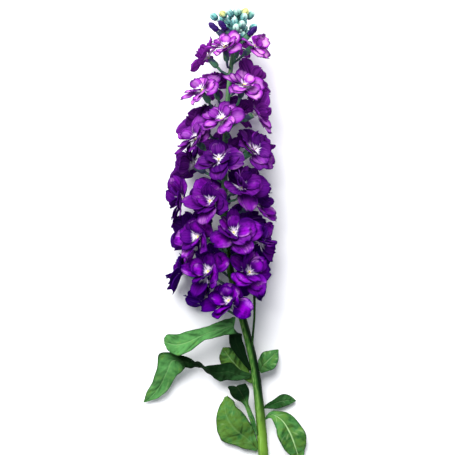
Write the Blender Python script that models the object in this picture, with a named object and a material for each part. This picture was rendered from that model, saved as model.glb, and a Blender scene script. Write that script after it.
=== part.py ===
"""A cut spike of garden stock lying on its side: a stem with its stalks, calyces and green buds,
open florets of ruffled petals in two layers, rolled purple buds, and strap-shaped leaves.

Lengths are in millimetres and angles in degrees; MM turns a length into Blender's metres.
X runs across the spike, Y along it towards the tip, and Z up from the surface that it lies on.
"""

import itertools
import math
import random

import bpy
from mathutils import Vector

MM = 0.001

# The place of the origin: under the middle of the whole spike, on the surface.
SHIFT = Vector((-3.576, 0.407, -0.153))

# The stem's centreline, from the cut end to the tip, and its radius at places along Y.
STEM_ROUTE = [
    (34.5, -179.0, 5.0),
    (31.0, -135.0, 9.5),
    (25.5, -95.0, 16.0),
    (13.5, -48.0, 24.5),
    (4.8, -8.0, 30.0),
    (3.0, 46.0, 34.0),
    (5.5, 108.0, 35.5),
    (13.5, 173.0, 37.0),
]
STEM_RADII = [(-179.0, 3.9), (-75.0, 3.1), (40.0, 2.4), (173.0, 1.3)]
STEM_SIDES = 10
STEM_RINGS = 17

# Each open floret as it is first placed: its place along Y, its turn round the stem (0 faces up and
# 90 faces +X), and how far out from the stem its throat stands. First those that show from above,
# which stay near their places, then those that fill the sides and the underside.
SEEN_FLORETS = [
    (139.0, -80.0, 17.0),
    (144.0, -24.0, 16.0),
    (147.0, 42.0, 17.0),
    (112.0, -62.0, 21.0),
    (111.0, 38.0, 22.0),
    (101.0, 60.0, 21.0),
    (88.0, -11.0, 22.5),
    (72.0, -65.0, 23.5),
    (67.0, 62.0, 23.5),
    (57.0, 6.0, 22.0),
    (42.0, 17.0, 23.5),
    (26.0, 64.0, 22.0),
    (33.0, -73.0, 29.5),
    (27.0, -19.0, 23.5),
    (-1.0, -33.0, 24.5),
    (4.0, 5.0, 24.5),
    (1.0, 48.0, 22.5),
    (-30.0, -90.0, 33.5),
    (-26.0, -42.0, 24.5),
    (-28.0, 25.0, 23.5),
    (-47.0, -14.0, 24.5),
]
OTHER_FLORETS = [
    (125.0, 118.0, 16.5),
    (123.0, -128.0, 16.5),
    (145.0, 165.0, 15.5),
    (101.0, 168.0, 18.5),
    (72.0, 119.0, 22.0),
    (90.0, -128.0, 21.0),
    (55.0, -105.0, 23.5),
    (65.0, -170.0, 21.0),
    (41.0, 143.0, 22.0),
    (30.0, -160.0, 19.5),
    (13.0, 108.0, 22.0),
    (20.0, -102.0, 24.5),
    (-5.0, -138.0, 21.0),
    (-44.0, -84.0, 25.0),
    (-7.0, 158.0, 16.0),
]

# How they are evened out: each step moves a floret off those nearer than the spacing, and back
# towards its first place. None goes past the ends, or under the spike at its low end.
EVENING_STEPS = 200
SPACING_LOW = 34.0
SPACING_TOP = 30.0
SPACING_CHANGES_AT = 100.0
PUSH = 0.12
LONGEST_STEP = 1.5
SEEN_HOLD = 0.07
SEEN_PACE = 0.5
OTHER_HOLD = 0.003
OTHER_PACE = 1.0
LOW_END_BELOW = -20.0
LOW_END_TURN = 118.0
FLORETS_FROM = -50.0
FLORETS_TO = 150.0

FLORET_RADIUS_LOW = 20.5
FLORET_RADIUS_TOP = 14.0
RADIUS_VARIES = 0.06
DISH_LIFT = 4.0
NEIGHBOURS = 14

# How far a floret faces up the stem at the spike's low end and at its top, how much that varies, and
# how far it faces to one side.
LEAN_LOW = 14.0
LEAN_TOP = 50.0
LEAN_VARIES = 14.0
SWAY = 20.0

# A floret's throat: heights up its axis and radii.
THROAT = [(0.0, 2.1), (4.6, 3.2)]
THROAT_SIDES = 5
HALF_SIDE = 180.0 / THROAT_SIDES

# The petals of a floret's two layers: how many, their length and half width as shares of the floret's
# radius, where their roots stand in the throat (out from its axis and up), the pitch at which they
# leave it, how much steeper they stand, their twist, and the rows of points along and across them.
LAYERS = [
    (5, 1.0, 0.43, (1.3, 1.9), 58.0, 0.0, 1.0, [(0.3, (-1, 1)), (0.68, (-1, 0, 1)), (1.0, (-1, 0, 1))]),
    (3, 0.66, 0.29, (0.6, 3.4), 86.0, 32.0, 0.1, [(0.5, (-1, 1)), (1.0, (-1, 0, 1))]),
]
CLAW = 0.18
PETAL_THICKNESS = 0.6
PETAL_TWIST = 13.0
TWIST_BY_PITCH = 0.4
ABOVE_OUTER = 16.0
NEARLY_BESIDE = 0.2
STEEPEST = 84.0
PETAL_STEPS = 12
WAVE_HEIGHT = 0.04
WAVE_ACROSS = 3.0
ROUNDED_TIP = 0.07

# What differs from one petal to the next: its length, its turn round the throat, how far it curls back
# and how far its sides rise.
LENGTH_FACTORS = (0.95, 1.08)
TURN_VARIES = 4.0
CURLS = (4.0, 22.0)
CUPS = (0.02, 0.14)
FLORET_SEED = 900
PETAL_SEED = 100

# What a petal tries until it fits its room: pitches, shares of its length, the places on it that must
# be clear, and the turns of the whole floret. WIDE_AT_LEAST weighs length against a flat pitch.
PITCHES = range(6, 80, 8)
SHARES = (1.0, 0.92, 0.84, 0.76, 0.68)
PROBES = ((1.0, 0.0), (0.75, -1.0), (0.75, 1.0))
STARTS = range(0, 72, 12)
WIDE_AT_LEAST = 0.3
WIDTHS = [(0.0, 0.16), (0.2, 0.4), (0.45, 0.84), (0.7, 1.0), (0.9, 0.86), (1.0, 0.6)]

# Room between one floret and the next, and above the surface.
ROOM = 0.5
SOFT_ROOM = 1.5
FLOOR_ROOM = 0.33
FLOOR_SOFT = 1.3
SEAT_GAP = 0.3
LOW_WALLS = [((8.0, -67.0, 0.0), (-0.4, -1.0, 0.0)), ((8.0, -67.0, 0.0), (0.3, -1.0, 0.0))]
RIGHT_EDGE = ((44.6, 1.0, 0.0), (1.0, -0.23, 0.0))
BUD_ROOM = 4.2

# A stalk and the calyx that it carries. DROP is how far down the stem a stalk leaves it.
STALK_RADIUS = 0.9
STALK_SIDES = 5
CALYX_LENGTH = 8.5
CALYX_RADIUS = 2.4
CALYX_SWELLS_AT = 0.25
CALYX_RIM = 0.92
FLORET_DROP = 13.0
PURPLE_BUD_DROP = 8.0
GREEN_BUD_DROP = 9.0

# Green buds of the tip and purple buds among them: place along Y, turn and reach of the bud's foot.
GREEN_BUDS = [
    (170.0, -84, 15.5),
    (171.5, -50, 12.0),
    (172.5, -45, 5.5),
    (173.0, -5, 4.5),
    (173.0, 50, 4.0),
    (169.0, 32, 7.0),
    (163.5, 22, 8.5),
    (166.0, -8, 7.5),
    (160.5, 2, 7.5),
    (171.0, 95, 7.0),
    (173.0, 160, 5.5),
    (169.0, -125, 10.0),
    (166.0, 150, 9.0),
    (162.0, 98, 11.0),
]
GREEN_BUD_LENGTH = 7.5
GREEN_BUD_RADIUS = 2.8
GREEN_BUD_SWELL = [(0.0, 0.5), (0.3, 0.95), (0.65, 0.95), (1.0, 0.3)]
PURPLE_BUDS = [(161.0, -84, 13.5), (162.0, -54, 9.0), (157.5, 62, 11.5), (158.0, -150, 13.0)]
PURPLE_BUD_LENGTH = 10.0
PURPLE_BUD_RADIUS = 2.6
PURPLE_BUD_SWELL = [(0.0, 0.8), (0.25, 1.0), (0.6, 1.05), (1.0, 0.35)]
BUD_CALYX_LENGTH = 5.0
BUD_LEAN = 0.9

# Leaves, from the stem to the tip: rows of the midrib's place and of the way from it to one edge. Their
# edges wave in full where the leaf's half width is LEAF_WAVES_FROM or more.
LEAVES = {
    "leaf_long_left": [
        ((24.0, -103.5, 16.0), (-0.9, -0.5, -0.6)),
        ((17.5, -92.5, 20.0), (-2.8, -1.6, -0.8)),
        ((12.5, -82.0, 25.0), (-5.0, -1.8, -1.0)),
        ((11.0, -72.5, 29.5), (-4.0, 2.8, -2.8)),
        ((9.5, -68.2, 33.0), (1.0, 6.3, -3.6)),
        ((2.0, -70.0, 33.5), (1.8, 6.6, -1.8)),
        ((-8.0, -73.0, 32.0), (1.2, 5.4, -2.0)),
        ((-17.0, -77.0, 30.5), (1.0, 6.8, -1.5)),
        ((-27.0, -81.5, 28.5), (0.4, 8.6, -1.0)),
        ((-34.8, -83.0, 26.5), (-0.6, 8.2, -0.3)),
        ((-40.6, -81.8, 25.0), (-1.4, 6.8, 0.0)),
        ((-44.0, -80.8, 24.0), (-0.1, 1.4, 0.0)),
    ],
    "leaf_twisted_left": [
        ((23.4, -108.0, 13.0), (0.5, 1.6, 0.5)),
        ((15.5, -107.5, 12.5), (1.0, 3.8, 1.0)),
        ((6.5, -104.8, 13.5), (1.0, 6.6, -2.0)),
        ((-2.0, -105.2, 15.5), (-1.0, 6.4, 1.5)),
        ((-9.5, -103.5, 16.5), (-3.2, 4.6, 3.6)),
        ((-15.5, -98.6, 14.5), (-1.6, 2.2, 4.4)),
        ((-22.5, -98.2, 13.0), (0.2, 3.6, 2.4)),
        ((-30.0, -96.5, 14.0), (-2.0, 5.0, -1.5)),
        ((-37.8, -96.2, 15.0), (-9.6, 6.2, 1.0)),
        ((-42.0, -104.5, 13.0), (-8.2, 2.2, 1.5)),
        ((-47.0, -115.0, 8.8), (-7.0, 1.8, 0.8)),
        ((-53.5, -123.5, 6.0), (-4.8, 1.8, 0.3)),
        ((-60.3, -129.0, 4.2), (-0.3, 0.2, 0.0)),
    ],
    "leaf_short_left": [
        ((24.6, -113.0, 10.0), (1.0, 1.2, 0.2)),
        ((16.0, -103.5, 8.5), (4.0, 4.0, 0.5)),
        ((9.0, -96.0, 9.0), (6.0, 6.0, 1.0)),
        ((4.5, -90.0, 8.5), (5.0, 3.6, 1.0)),
        ((2.0, -86.0, 7.0), (0.3, 0.2, 0.0)),
    ],
    "leaf_short_right": [
        ((30.2, -104.5, 14.5), (0.8, -1.2, 0.0)),
        ((33.5, -99.5, 15.5), (4.0, -4.5, -1.5)),
        ((37.2, -96.0, 14.5), (5.0, -5.8, -0.5)),
        ((41.0, -92.3, 11.5), (3.6, -4.0, -1.5)),
        ((45.5, -87.6, 7.0), (0.3, -0.2, 0.0)),
    ],
    "leaf_broad_low": [
        ((28.8, -166.5, 6.0), (1.0, 1.3, 0.3)),
        ((22.0, -158.5, 6.5), (5.0, 6.2, 1.0)),
        ((13.0, -151.5, 7.5), (9.6, 8.6, 2.6)),
        ((6.5, -143.5, 7.5), (8.2, 9.6, 2.2)),
        ((3.6, -133.5, 6.0), (6.2, 6.0, 1.5)),
        ((4.4, -124.6, 4.8), (1.2, 0.4, 0.0)),
    ],
    "leaf_side_shoot": [
        ((28.2, -154.5, 10.0), (0.9, 0.4, 1.2)),
        ((24.8, -141.5, 14.5), (1.6, 0.8, 1.3)),
        ((20.5, -130.0, 17.5), (1.8, 1.0, 1.5)),
        ((16.5, -121.5, 19.5), (6.2, 2.8, 1.6)),
        ((13.5, -117.0, 18.5), (6.8, 1.8, 0.5)),
        ((12.0, -116.5, 14.5), (5.4, 1.0, 0.0)),
        ((12.5, -119.0, 12.0), (0.4, 0.1, 0.0)),
    ],
    "leaf_arching_right": [
        ((35.9, -141.0, 10.0), (0.3, 1.6, 0.6)),
        ((41.0, -138.3, 13.0), (0.8, 3.0, 0.6)),
        ((48.5, -143.0, 15.0), (5.5, 5.0, -1.5)),
        ((54.5, -152.5, 14.0), (9.5, 4.5, -3.0)),
        ((58.5, -163.0, 10.0), (8.5, 2.5, -3.0)),
        ((61.0, -171.0, 6.0), (4.5, 1.0, -1.5)),
        ((62.3, -176.5, 3.2), (0.3, 0.1, 0.0)),
    ],
    "leaf_low_right": [
        ((35.4, -132.5, 8.5), (0.3, 1.4, 0.2)),
        ((41.0, -130.5, 7.0), (0.8, 3.6, -0.3)),
        ((47.0, -128.5, 6.0), (0.8, 5.4, -0.5)),
        ((53.5, -127.5, 5.0), (0.5, 4.0, -0.5)),
        ((59.5, -128.0, 3.8), (0.0, 0.3, 0.0)),
    ],
}
LEAF_THICKNESS = 0.8
LEAF_FOLD = 0.14
LEAF_WAVE = 0.9
LEAF_WAVE_LENGTH = 17.0
LEAF_WAVE_ACROSS = 1.9
LEAF_WAVES_FROM = 5.0
LEAF_SEAT = 0.6

COLOURS = {
    "stem": ((0.23, 0.38, 0.13, 1.0), 0.55),
    "floret": ((0.23, 0.01, 0.42, 1.0), 0.5),
    "bud": ((0.16, 0.01, 0.33, 1.0), 0.5),
    "leaf": ((0.12, 0.29, 0.08, 1.0), 0.6),
}


def along(table, x):
    """The value at x in a table of (place, value) pairs, in straight steps."""
    for (x0, y0), (x1, y1) in zip(table, table[1:]):
        if x <= x1:
            return y0 + (y1 - y0) * max(0.0, (x - x0) / (x1 - x0))
    return table[-1][1]


def through(points, share):
    """A point on the smooth curve through these points, where share runs from 0 to 1."""
    spans = len(points) - 1
    place = min(max(share, 0.0), 1.0) * spans
    i = min(int(place), spans - 1)
    t = place - i
    p = [Vector(points[min(max(k, 0), spans)]) for k in (i - 1, i, i + 1, i + 2)]
    return 0.5 * (
        2 * p[1] + (p[2] - p[0]) * t
        + (2 * p[0] - 5 * p[1] + 4 * p[2] - p[3]) * t**2
        + (3 * p[1] - p[0] - 3 * p[2] + p[3]) * t**3
    )


def stem_point(y):
    """The stem's centre at this place along Y."""
    low, high = 0.0, 1.0
    for _ in range(30):
        middle = (low + high) / 2
        if through(STEM_ROUTE, middle).y < y:
            low = middle
        else:
            high = middle
    return through(STEM_ROUTE, low)


def outward(turn):
    """The direction away from the stem at this turn round it."""
    angle = math.radians(turn)
    return Vector((math.sin(angle), 0.0, math.cos(angle)))


class Spot:
    """A floret's place on the stem while the florets are evened out."""

    def __init__(self, y, turn, reach, hold, pace):
        self.y, self.turn, self.reach = y, turn, reach
        self.first_y, self.first_turn = y, turn
        self.hold, self.pace = hold, pace

    def dish(self):
        """The middle of the open floret."""
        return stem_point(self.y) + outward(self.turn) * (self.reach + DISH_LIFT)

    def step(self, here, others):
        """Moves off the dishes that are too near, and back towards the first place."""
        round_stem = outward(self.turn + 90.0)
        spacing = SPACING_LOW if self.y < SPACING_CHANGES_AT else SPACING_TOP
        out = self.reach + DISH_LIFT
        along_y = self.hold * (self.first_y - self.y)
        turned = self.hold * math.radians(self.first_turn - self.turn) * out
        for other in others:
            gap = here - other
            if gap.length < spacing:
                push = gap.normalized() * (spacing - gap.length) * PUSH
                along_y += push.y
                turned += push.dot(round_stem)
        y = self.y + min(max(along_y, -LONGEST_STEP), LONGEST_STEP) * self.pace
        self.y = min(max(y, FLORETS_FROM), FLORETS_TO)
        self.turn += math.degrees(turned / out) * self.pace
        if self.y < LOW_END_BELOW:
            self.turn = min(max(self.turn, -LOW_END_TURN), LOW_END_TURN)


def evened_spots():
    """The florets' places, evened out round the stem."""
    spots = [Spot(*row, SEEN_HOLD, SEEN_PACE) for row in SEEN_FLORETS]
    spots += [Spot(*row, OTHER_HOLD, OTHER_PACE) for row in OTHER_FLORETS]
    for _ in range(EVENING_STEPS):
        dishes = [spot.dish() for spot in spots]
        for k, spot in enumerate(spots):
            spot.step(dishes[k], dishes[:k] + dishes[k + 1:])
    return spots


class Floret:
    """Where a floret stands, which way it faces, and how big it is."""

    def __init__(self, number, y, turn, reach):
        self.number = number
        self.y = y
        up = Vector((0.0, 1.0, 0.0))
        draw = random.Random(FLORET_SEED + number)
        share = (y - FLORETS_FROM) / (FLORETS_TO - FLORETS_FROM)
        lean = LEAN_LOW + (LEAN_TOP - LEAN_LOW) * share + draw.uniform(-LEAN_VARIES, LEAN_VARIES)
        lean = math.radians(lean)
        facing = outward(turn + draw.uniform(-SWAY, SWAY))
        self.face = facing * math.cos(lean) + up * math.sin(lean)
        self.throat = stem_point(y) + outward(turn) * reach
        self.dish = self.throat + self.face * DISH_LIFT
        self.radius = FLORET_RADIUS_LOW + (FLORET_RADIUS_TOP - FLORET_RADIUS_LOW) * share**2
        self.radius *= draw.uniform(1.0 - RADIUS_VARIES, 1.0 + RADIUS_VARIES)
        self.right = up.cross(self.face).normalized()
        self.top = self.face.cross(self.right)

    def meet(self, others):
        """Sets the walls: beside and below the lowest petals, beside each purple bud, and halfway to
        each near floret."""
        self.walls = [(Vector(middle), Vector(way).normalized()) for middle, way in LOW_WALLS]
        for row in PURPLE_BUDS:
            end, way = bud_seat(*row)
            middle = end + way * PURPLE_BUD_LENGTH / 2
            gap = middle - self.dish
            self.walls.append((middle - gap.normalized() * BUD_ROOM, gap.normalized()))
        near = sorted((o for o in others if o is not self), key=lambda o: (o.dish - self.dish).length)
        for other in near[:NEIGHBOURS]:
            gap = other.dish - self.dish
            self.walls.append((self.dish + gap / 2, gap.normalized()))

    def inside(self, point):
        """Whether a point is clear of every neighbour, of the surface and of the spike's right edge."""
        edge, right = (Vector(value) for value in RIGHT_EDGE)
        clear = (point - edge).dot(right) < 0.0
        clear = clear and all((point - middle).dot(way) < -ROOM for middle, way in self.walls)
        return clear and point.z > FLOOR_ROOM

    def kept(self, point):
        """The point, eased back from its neighbours and from the surface."""
        for _ in range(3):
            for middle, way in self.walls:
                depth = -(point - middle).dot(way)
                point = point + way * (depth - eased(depth, ROOM, SOFT_ROOM))
        point.z = eased(point.z, FLOOR_ROOM, FLOOR_SOFT)
        return point


def eased(depth, least, soft):
    """A depth that never falls below the least, and changes smoothly from soft down."""
    if depth >= soft:
        return depth
    span = soft - least
    return least + span * math.exp(max(depth - soft, -40.0) / span)


class Petal:
    """One petal: a curve that rises from the throat and opens outwards, as wide as WIDTHS says."""

    def __init__(self, floret, turn, layer, outer, draw):
        _, length, half_width, self.root, self.first, rise, self.turned, self.rows = layer
        self.floret = floret
        self.turn = turn
        under = [o.pitch for o in outer if math.cos(math.radians(o.turn - turn)) > NEARLY_BESIDE]
        least = max(under) + ABOVE_OUTER if under else 0.0
        angle = math.radians(turn)
        self.out = floret.right * math.cos(angle) + floret.top * math.sin(angle)
        self.across = floret.face.cross(self.out)
        self.half_width = floret.radius * half_width
        self.curl = draw.uniform(*CURLS)
        self.cup = draw.uniform(*CUPS)
        self.wave = draw.uniform(0.0, 2.0 * math.pi)
        full = floret.radius * length * draw.uniform(*LENGTH_FACTORS)
        self.spread, kept = 0.0, (STEEPEST, full * SHARES[-1])
        for pitch, share in itertools.product(PITCHES, SHARES):
            spread = share * (WIDE_AT_LEAST + math.cos(math.radians(pitch)))
            if spread > self.spread:
                self.set(min(max(pitch + rise, least), STEEPEST), full * share)
                if all(floret.inside(self.bare(t, v)) for t, v in PROBES):
                    self.spread, kept = spread, (self.pitch, self.length)
        self.set(*kept)

    def set(self, pitch, length):
        self.pitch, self.length = pitch, length
        self.twist = math.radians(PETAL_TWIST + TWIST_BY_PITCH * pitch) * self.turned

    def bare(self, t, v):
        """The petal's own shape, before its neighbours press on it."""
        r, z = self.root
        for k in range(PETAL_STEPS):
            s = (k + 0.5) / PETAL_STEPS * t
            angle = self.pitch + (self.first - self.pitch) * max(0.0, 1.0 - s / CLAW)
            angle = math.radians(angle - self.curl * s * s * (1.0 - self.pitch / 100.0))
            r += math.cos(angle) * self.length * t / PETAL_STEPS
            z += math.sin(angle) * self.length * t / PETAL_STEPS
        normal = self.floret.face * math.cos(angle) - self.out * math.sin(angle)
        side = self.across * math.cos(self.twist) + normal * math.sin(self.twist)
        width = self.half_width * along(WIDTHS, t)
        wave = WAVE_HEIGHT * self.length * t * t * math.sin(self.wave + WAVE_ACROSS * v)
        lift = self.cup * width * v * v + wave
        return self.floret.throat + self.out * r + self.floret.face * z + side * width * v + normal * lift

    def point(self, t, v):
        """A point of the petal as its neighbours leave it, with the tip rounded off."""
        return self.floret.kept(self.bare(t - ROUNDED_TIP * t * t * v * v, v))


def petals_of(floret):
    """The turn of a floret's first petal and its petals, outer layer first, turned to fill its room."""
    best = None
    for start in STARTS:
        made = []
        draw = random.Random(PETAL_SEED + floret.number)
        turn = start
        for layer in LAYERS:
            outer = list(made)
            for k in range(layer[0]):
                way = turn + 360.0 / layer[0] * k + draw.uniform(-TURN_VARIES, TURN_VARIES)
                made.append(Petal(floret, way, layer, outer, draw))
            turn += HALF_SIDE
        spread = sum(petal.spread for petal in made)
        if best is None or spread > best[0]:
            best = (spread, start, [petal for petal in made if petal.spread > 0.0])
    return best[1:]


def mesh_object(name, points, faces, kind):
    """A mesh object with its material, from points in millimetres."""
    mesh = bpy.data.meshes.new(name)
    mesh.from_pydata([(p + SHIFT) * MM for p in points], [], faces)
    mesh.update()
    obj = bpy.data.objects.new(name, mesh)
    mesh.materials.append(material(kind))
    return obj


def material(kind):
    """The material of one kind of piece, made once."""
    found = bpy.data.materials.get(kind)
    if found:
        return found
    colour, roughness = COLOURS[kind]
    made = bpy.data.materials.new(kind)
    made.use_nodes = True
    shader = made.node_tree.nodes["Principled BSDF"]
    shader.inputs["Base Color"].default_value = colour
    shader.inputs["Roughness"].default_value = roughness
    shader.inputs["Metallic"].default_value = 0.0
    return made


def tube(centres, radii, sides, side=None):
    """Points and faces of a closed tube of flat-sided rings along these centres."""
    points, faces = [], []
    last = len(centres) - 1
    for k, centre in enumerate(centres):
        way = (centres[min(k + 1, last)] - centres[max(k - 1, 0)]).normalized()
        if side is None:
            side = way.orthogonal()
        side = (side - way * side.dot(way)).normalized()
        other = way.cross(side)
        for s in range(sides):
            angle = 2 * math.pi * s / sides
            points.append(centre + (side * math.cos(angle) + other * math.sin(angle)) * radii[k])
    for k in range(last):
        for s in range(sides):
            a, b = k * sides + s, k * sides + (s + 1) % sides
            faces.append((a, b, b + sides, a + sides))
    faces.append(tuple(reversed(range(sides))))
    faces.append(tuple(last * sides + s for s in range(sides)))
    return points, faces


def blade(name, surface, rows, thickness, kind):
    """A thin closed blade from a point at its root: rows of points, joined by triangles and then
    thickened evenly on both sides."""
    points, faces = [surface(0.0, 0.0)], []
    before, before_from = (0.0,), 0
    for t, across in rows:
        here = len(points)
        points.extend(surface(t, v) for v in across)
        i = j = 0
        while i + 1 < len(before) or j + 1 < len(across):
            a, b = before_from + i, here + j
            back = j + 1 < len(across) and (
                i + 1 >= len(before) or abs(across[j + 1] - before[i]) <= abs(across[j] - before[i + 1])
            )
            faces.append((a, b, b + 1) if back else (a, b, a + 1))
            i, j = (i, j + 1) if back else (i + 1, j)
        before, before_from = across, here
    obj = mesh_object(name, points, faces, kind)
    solid = obj.modifiers.new("Thickness", "SOLIDIFY")
    solid.thickness = thickness * MM
    solid.offset = 0.0
    return obj


def fused(name, base, extras):
    """Joins the extras to the base by one Boolean union, applies it, and removes the extras."""
    scene = bpy.context.scene.collection
    group = bpy.data.collections.new(name + "_extras")
    scene.children.link(group)
    scene.objects.link(base)
    for extra in extras:
        group.objects.link(extra)
    union = base.modifiers.new("Union", "BOOLEAN")
    union.operation = "UNION"
    union.operand_type = "COLLECTION"
    union.collection = group
    union.solver = "MANIFOLD"
    bpy.context.view_layer.update()
    graph = bpy.context.evaluated_depsgraph_get()
    joined = bpy.data.meshes.new_from_object(base.evaluated_get(graph))
    base.modifiers.clear()
    base.data = joined
    base.name = name
    for extra in extras:
        bpy.data.objects.remove(extra)
    bpy.data.collections.remove(group)
    return base


def make_floret(floret):
    """The corolla: a short throat with its petals rooted in it, each in the middle of a side."""
    start, petals = petals_of(floret)
    centres = [floret.throat + floret.face * up for up, _ in THROAT]
    angle = math.radians(start + HALF_SIDE)
    corner = floret.right * math.cos(angle) + floret.top * math.sin(angle)
    points, faces = tube(centres, [radius for _, radius in THROAT], THROAT_SIDES, corner)
    base = mesh_object("throat", points, faces, "floret")
    extras = [
        blade(f"petal_{k}", petal.point, petal.rows, PETAL_THICKNESS, "floret")
        for k, petal in enumerate(petals)
    ]
    return fused(f"floret_{floret.number:02d}", base, extras)


def stalk(start_y, end, way, length, radius):
    """A stalk that leaves the stem here along Y and swells into a calyx, with its rim at end."""
    foot = end - way * length
    centres = [stem_point(start_y), foot, foot + way * length * CALYX_SWELLS_AT, end]
    radii = [STALK_RADIUS, STALK_RADIUS, radius, radius * CALYX_RIM]
    points, faces = tube(centres, radii, STALK_SIDES)
    return mesh_object("calyx", points, faces, "stem")


def make_stem(florets):
    """The stem with every stalk, calyx and green bud fused to it."""
    centres = [through(STEM_ROUTE, k / (STEM_RINGS - 1)) for k in range(STEM_RINGS)]
    points, faces = tube(centres, [along(STEM_RADII, c.y) for c in centres], STEM_SIDES)
    base = mesh_object("stem_core", points, faces, "stem")
    extras = []
    for floret in florets:
        rim = floret.throat - floret.face * SEAT_GAP
        extras.append(stalk(floret.y - FLORET_DROP, rim, floret.face, CALYX_LENGTH, CALYX_RADIUS))
    for y, turn, reach in PURPLE_BUDS:
        rim, way = bud_seat(y, turn, reach)
        extras.append(stalk(y - PURPLE_BUD_DROP, rim, way, BUD_CALYX_LENGTH, PURPLE_BUD_RADIUS))
    for y, turn, reach in GREEN_BUDS:
        extras.append(green_bud(y, turn, reach))
    return fused("stem", base, extras)


def bud_seat(y, turn, reach):
    """Where a bud stands and the way that it points."""
    way = (outward(turn) + Vector((0.0, BUD_LEAN, 0.0))).normalized()
    return stem_point(y) + outward(turn) * reach, way


def green_bud(y, turn, reach):
    """A closed green bud on its stalk."""
    foot, way = bud_seat(y, turn, reach)
    root = stem_point(y - GREEN_BUD_DROP)
    centres = [root] + [foot + way * GREEN_BUD_LENGTH * s for s, _ in GREEN_BUD_SWELL]
    radii = [STALK_RADIUS] + [GREEN_BUD_RADIUS * w for _, w in GREEN_BUD_SWELL]
    points, faces = tube(centres, radii, STALK_SIDES)
    return mesh_object("green_bud", points, faces, "stem")


def make_purple_bud(number, y, turn, reach):
    """A rolled corolla that stands in its calyx, not yet open."""
    end, way = bud_seat(y, turn, reach)
    centres = [end + way * (SEAT_GAP + PURPLE_BUD_LENGTH * s) for s, _ in PURPLE_BUD_SWELL]
    points, faces = tube(centres, [PURPLE_BUD_RADIUS * w for _, w in PURPLE_BUD_SWELL], THROAT_SIDES)
    made = mesh_object(f"purple_bud_{number}", points, faces, "bud")
    bpy.context.scene.collection.objects.link(made)


def leaf_surface(rows):
    """The point of a leaf's blade at t along it and v across it: folded at the midrib, with waved
    edges. Its root is set against the stem."""
    middles, sides = [Vector(row[0]) for row in rows], [row[1] for row in rows]
    axis = stem_point(middles[0].y)
    radius = along(STEM_RADII, middles[0].y)
    middles[0] = axis + (middles[0] - axis).normalized() * (radius + LEAF_SEAT)
    length = sum((b - a).length for a, b in zip(middles, middles[1:]))

    def upper(t):
        way = through(middles, t + 0.02) - through(middles, t - 0.02)
        return way.cross(through(sides, t)).normalized()

    top = 1.0 if upper(0.5).z > 0.0 else -1.0

    def surface(t, v):
        side = through(sides, t)
        phase = 2.0 * math.pi * length * t / LEAF_WAVE_LENGTH
        wave = LEAF_WAVE * math.sin(phase + LEAF_WAVE_ACROSS * v) * min(1.0, side.length / LEAF_WAVES_FROM)
        lift = top * abs(v) * (LEAF_FOLD * side.length + wave)
        return through(middles, t) + side * v + upper(t) * lift

    return surface


def make_leaf(name, rows):
    """A strap-shaped leaf."""
    count = 2 * len(rows) - 4 if len(rows) < 8 else len(rows) + 1
    places = [((k + 1) / count, (-1, 0, 1)) for k in range(count - 1)] + [(1.0, (0,))]
    obj = blade(name, leaf_surface(rows), places, LEAF_THICKNESS, "leaf")
    bpy.context.scene.collection.objects.link(obj)


def main():
    for obj in list(bpy.data.objects):
        bpy.data.objects.remove(obj)
    spots = evened_spots()
    florets = [Floret(k + 1, spot.y, spot.turn, spot.reach) for k, spot in enumerate(spots)]
    for floret in florets:
        floret.meet(florets)
    make_stem(florets)
    for floret in florets:
        make_floret(floret)
    for k, row in enumerate(PURPLE_BUDS):
        make_purple_bud(k + 1, *row)
    for name, row in LEAVES.items():
        make_leaf(name, row)


if __name__ == "__main__":
    main()
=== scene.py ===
"""A cut spike of garden stock lying on a pale floor: ruffled florets with white throats, rolled buds,
a green budded tip, a ridged stem and wavy felted leaves.

Lengths are in millimetres and angles in degrees, but for the properties and where a comment says so.
X runs across the spike, Y along it towards the tip, and Z up from the floor.
"""

import copy
import functools
import itertools
import math
import random
from collections import namedtuple

import bpy
import numpy as np
from bpy.props import FloatProperty, FloatVectorProperty, PointerProperty
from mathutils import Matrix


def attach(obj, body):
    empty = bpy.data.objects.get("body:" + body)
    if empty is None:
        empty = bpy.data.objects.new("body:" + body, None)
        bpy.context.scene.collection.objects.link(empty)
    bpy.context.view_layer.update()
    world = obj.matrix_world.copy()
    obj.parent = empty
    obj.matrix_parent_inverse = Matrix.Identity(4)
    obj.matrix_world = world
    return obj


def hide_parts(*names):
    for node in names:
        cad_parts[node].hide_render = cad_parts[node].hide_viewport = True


bl_info = {
    "name": "Stock Flower Spike",
    "version": (1, 0, 0),
    "blender": (4, 5, 0),
    "location": "View3D > Sidebar > Stock",
    "description": "Dresses a cut spike of garden stock: stem, buds, florets, leaves and stage",
    "category": "Object",
}

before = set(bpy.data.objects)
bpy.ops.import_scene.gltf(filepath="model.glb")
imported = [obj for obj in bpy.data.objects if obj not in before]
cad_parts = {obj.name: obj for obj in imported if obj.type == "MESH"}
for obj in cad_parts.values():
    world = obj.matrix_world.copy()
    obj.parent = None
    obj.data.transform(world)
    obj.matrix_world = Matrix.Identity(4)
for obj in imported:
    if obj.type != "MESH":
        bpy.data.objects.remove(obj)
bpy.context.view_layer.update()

MM = 0.001
# Moves the finished spike so that the middle of its box lies over the frame's origin, on the floor.
SHIFT = np.array((-3.576, 0.407, -0.153))
# A direction that nothing in the spike points in, to turn a cross section from.
ODD_WAY = (0.31, 0.52, 0.79)
UP_THE_SPIKE = np.array((0.0, 1.0, 0.0))
# A wave's phase is drawn from these.
ANY_PHASE = (0.0, 6.28)
# Points that stand closer than this are merged.
MERGED_WITHIN = 0.001

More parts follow.
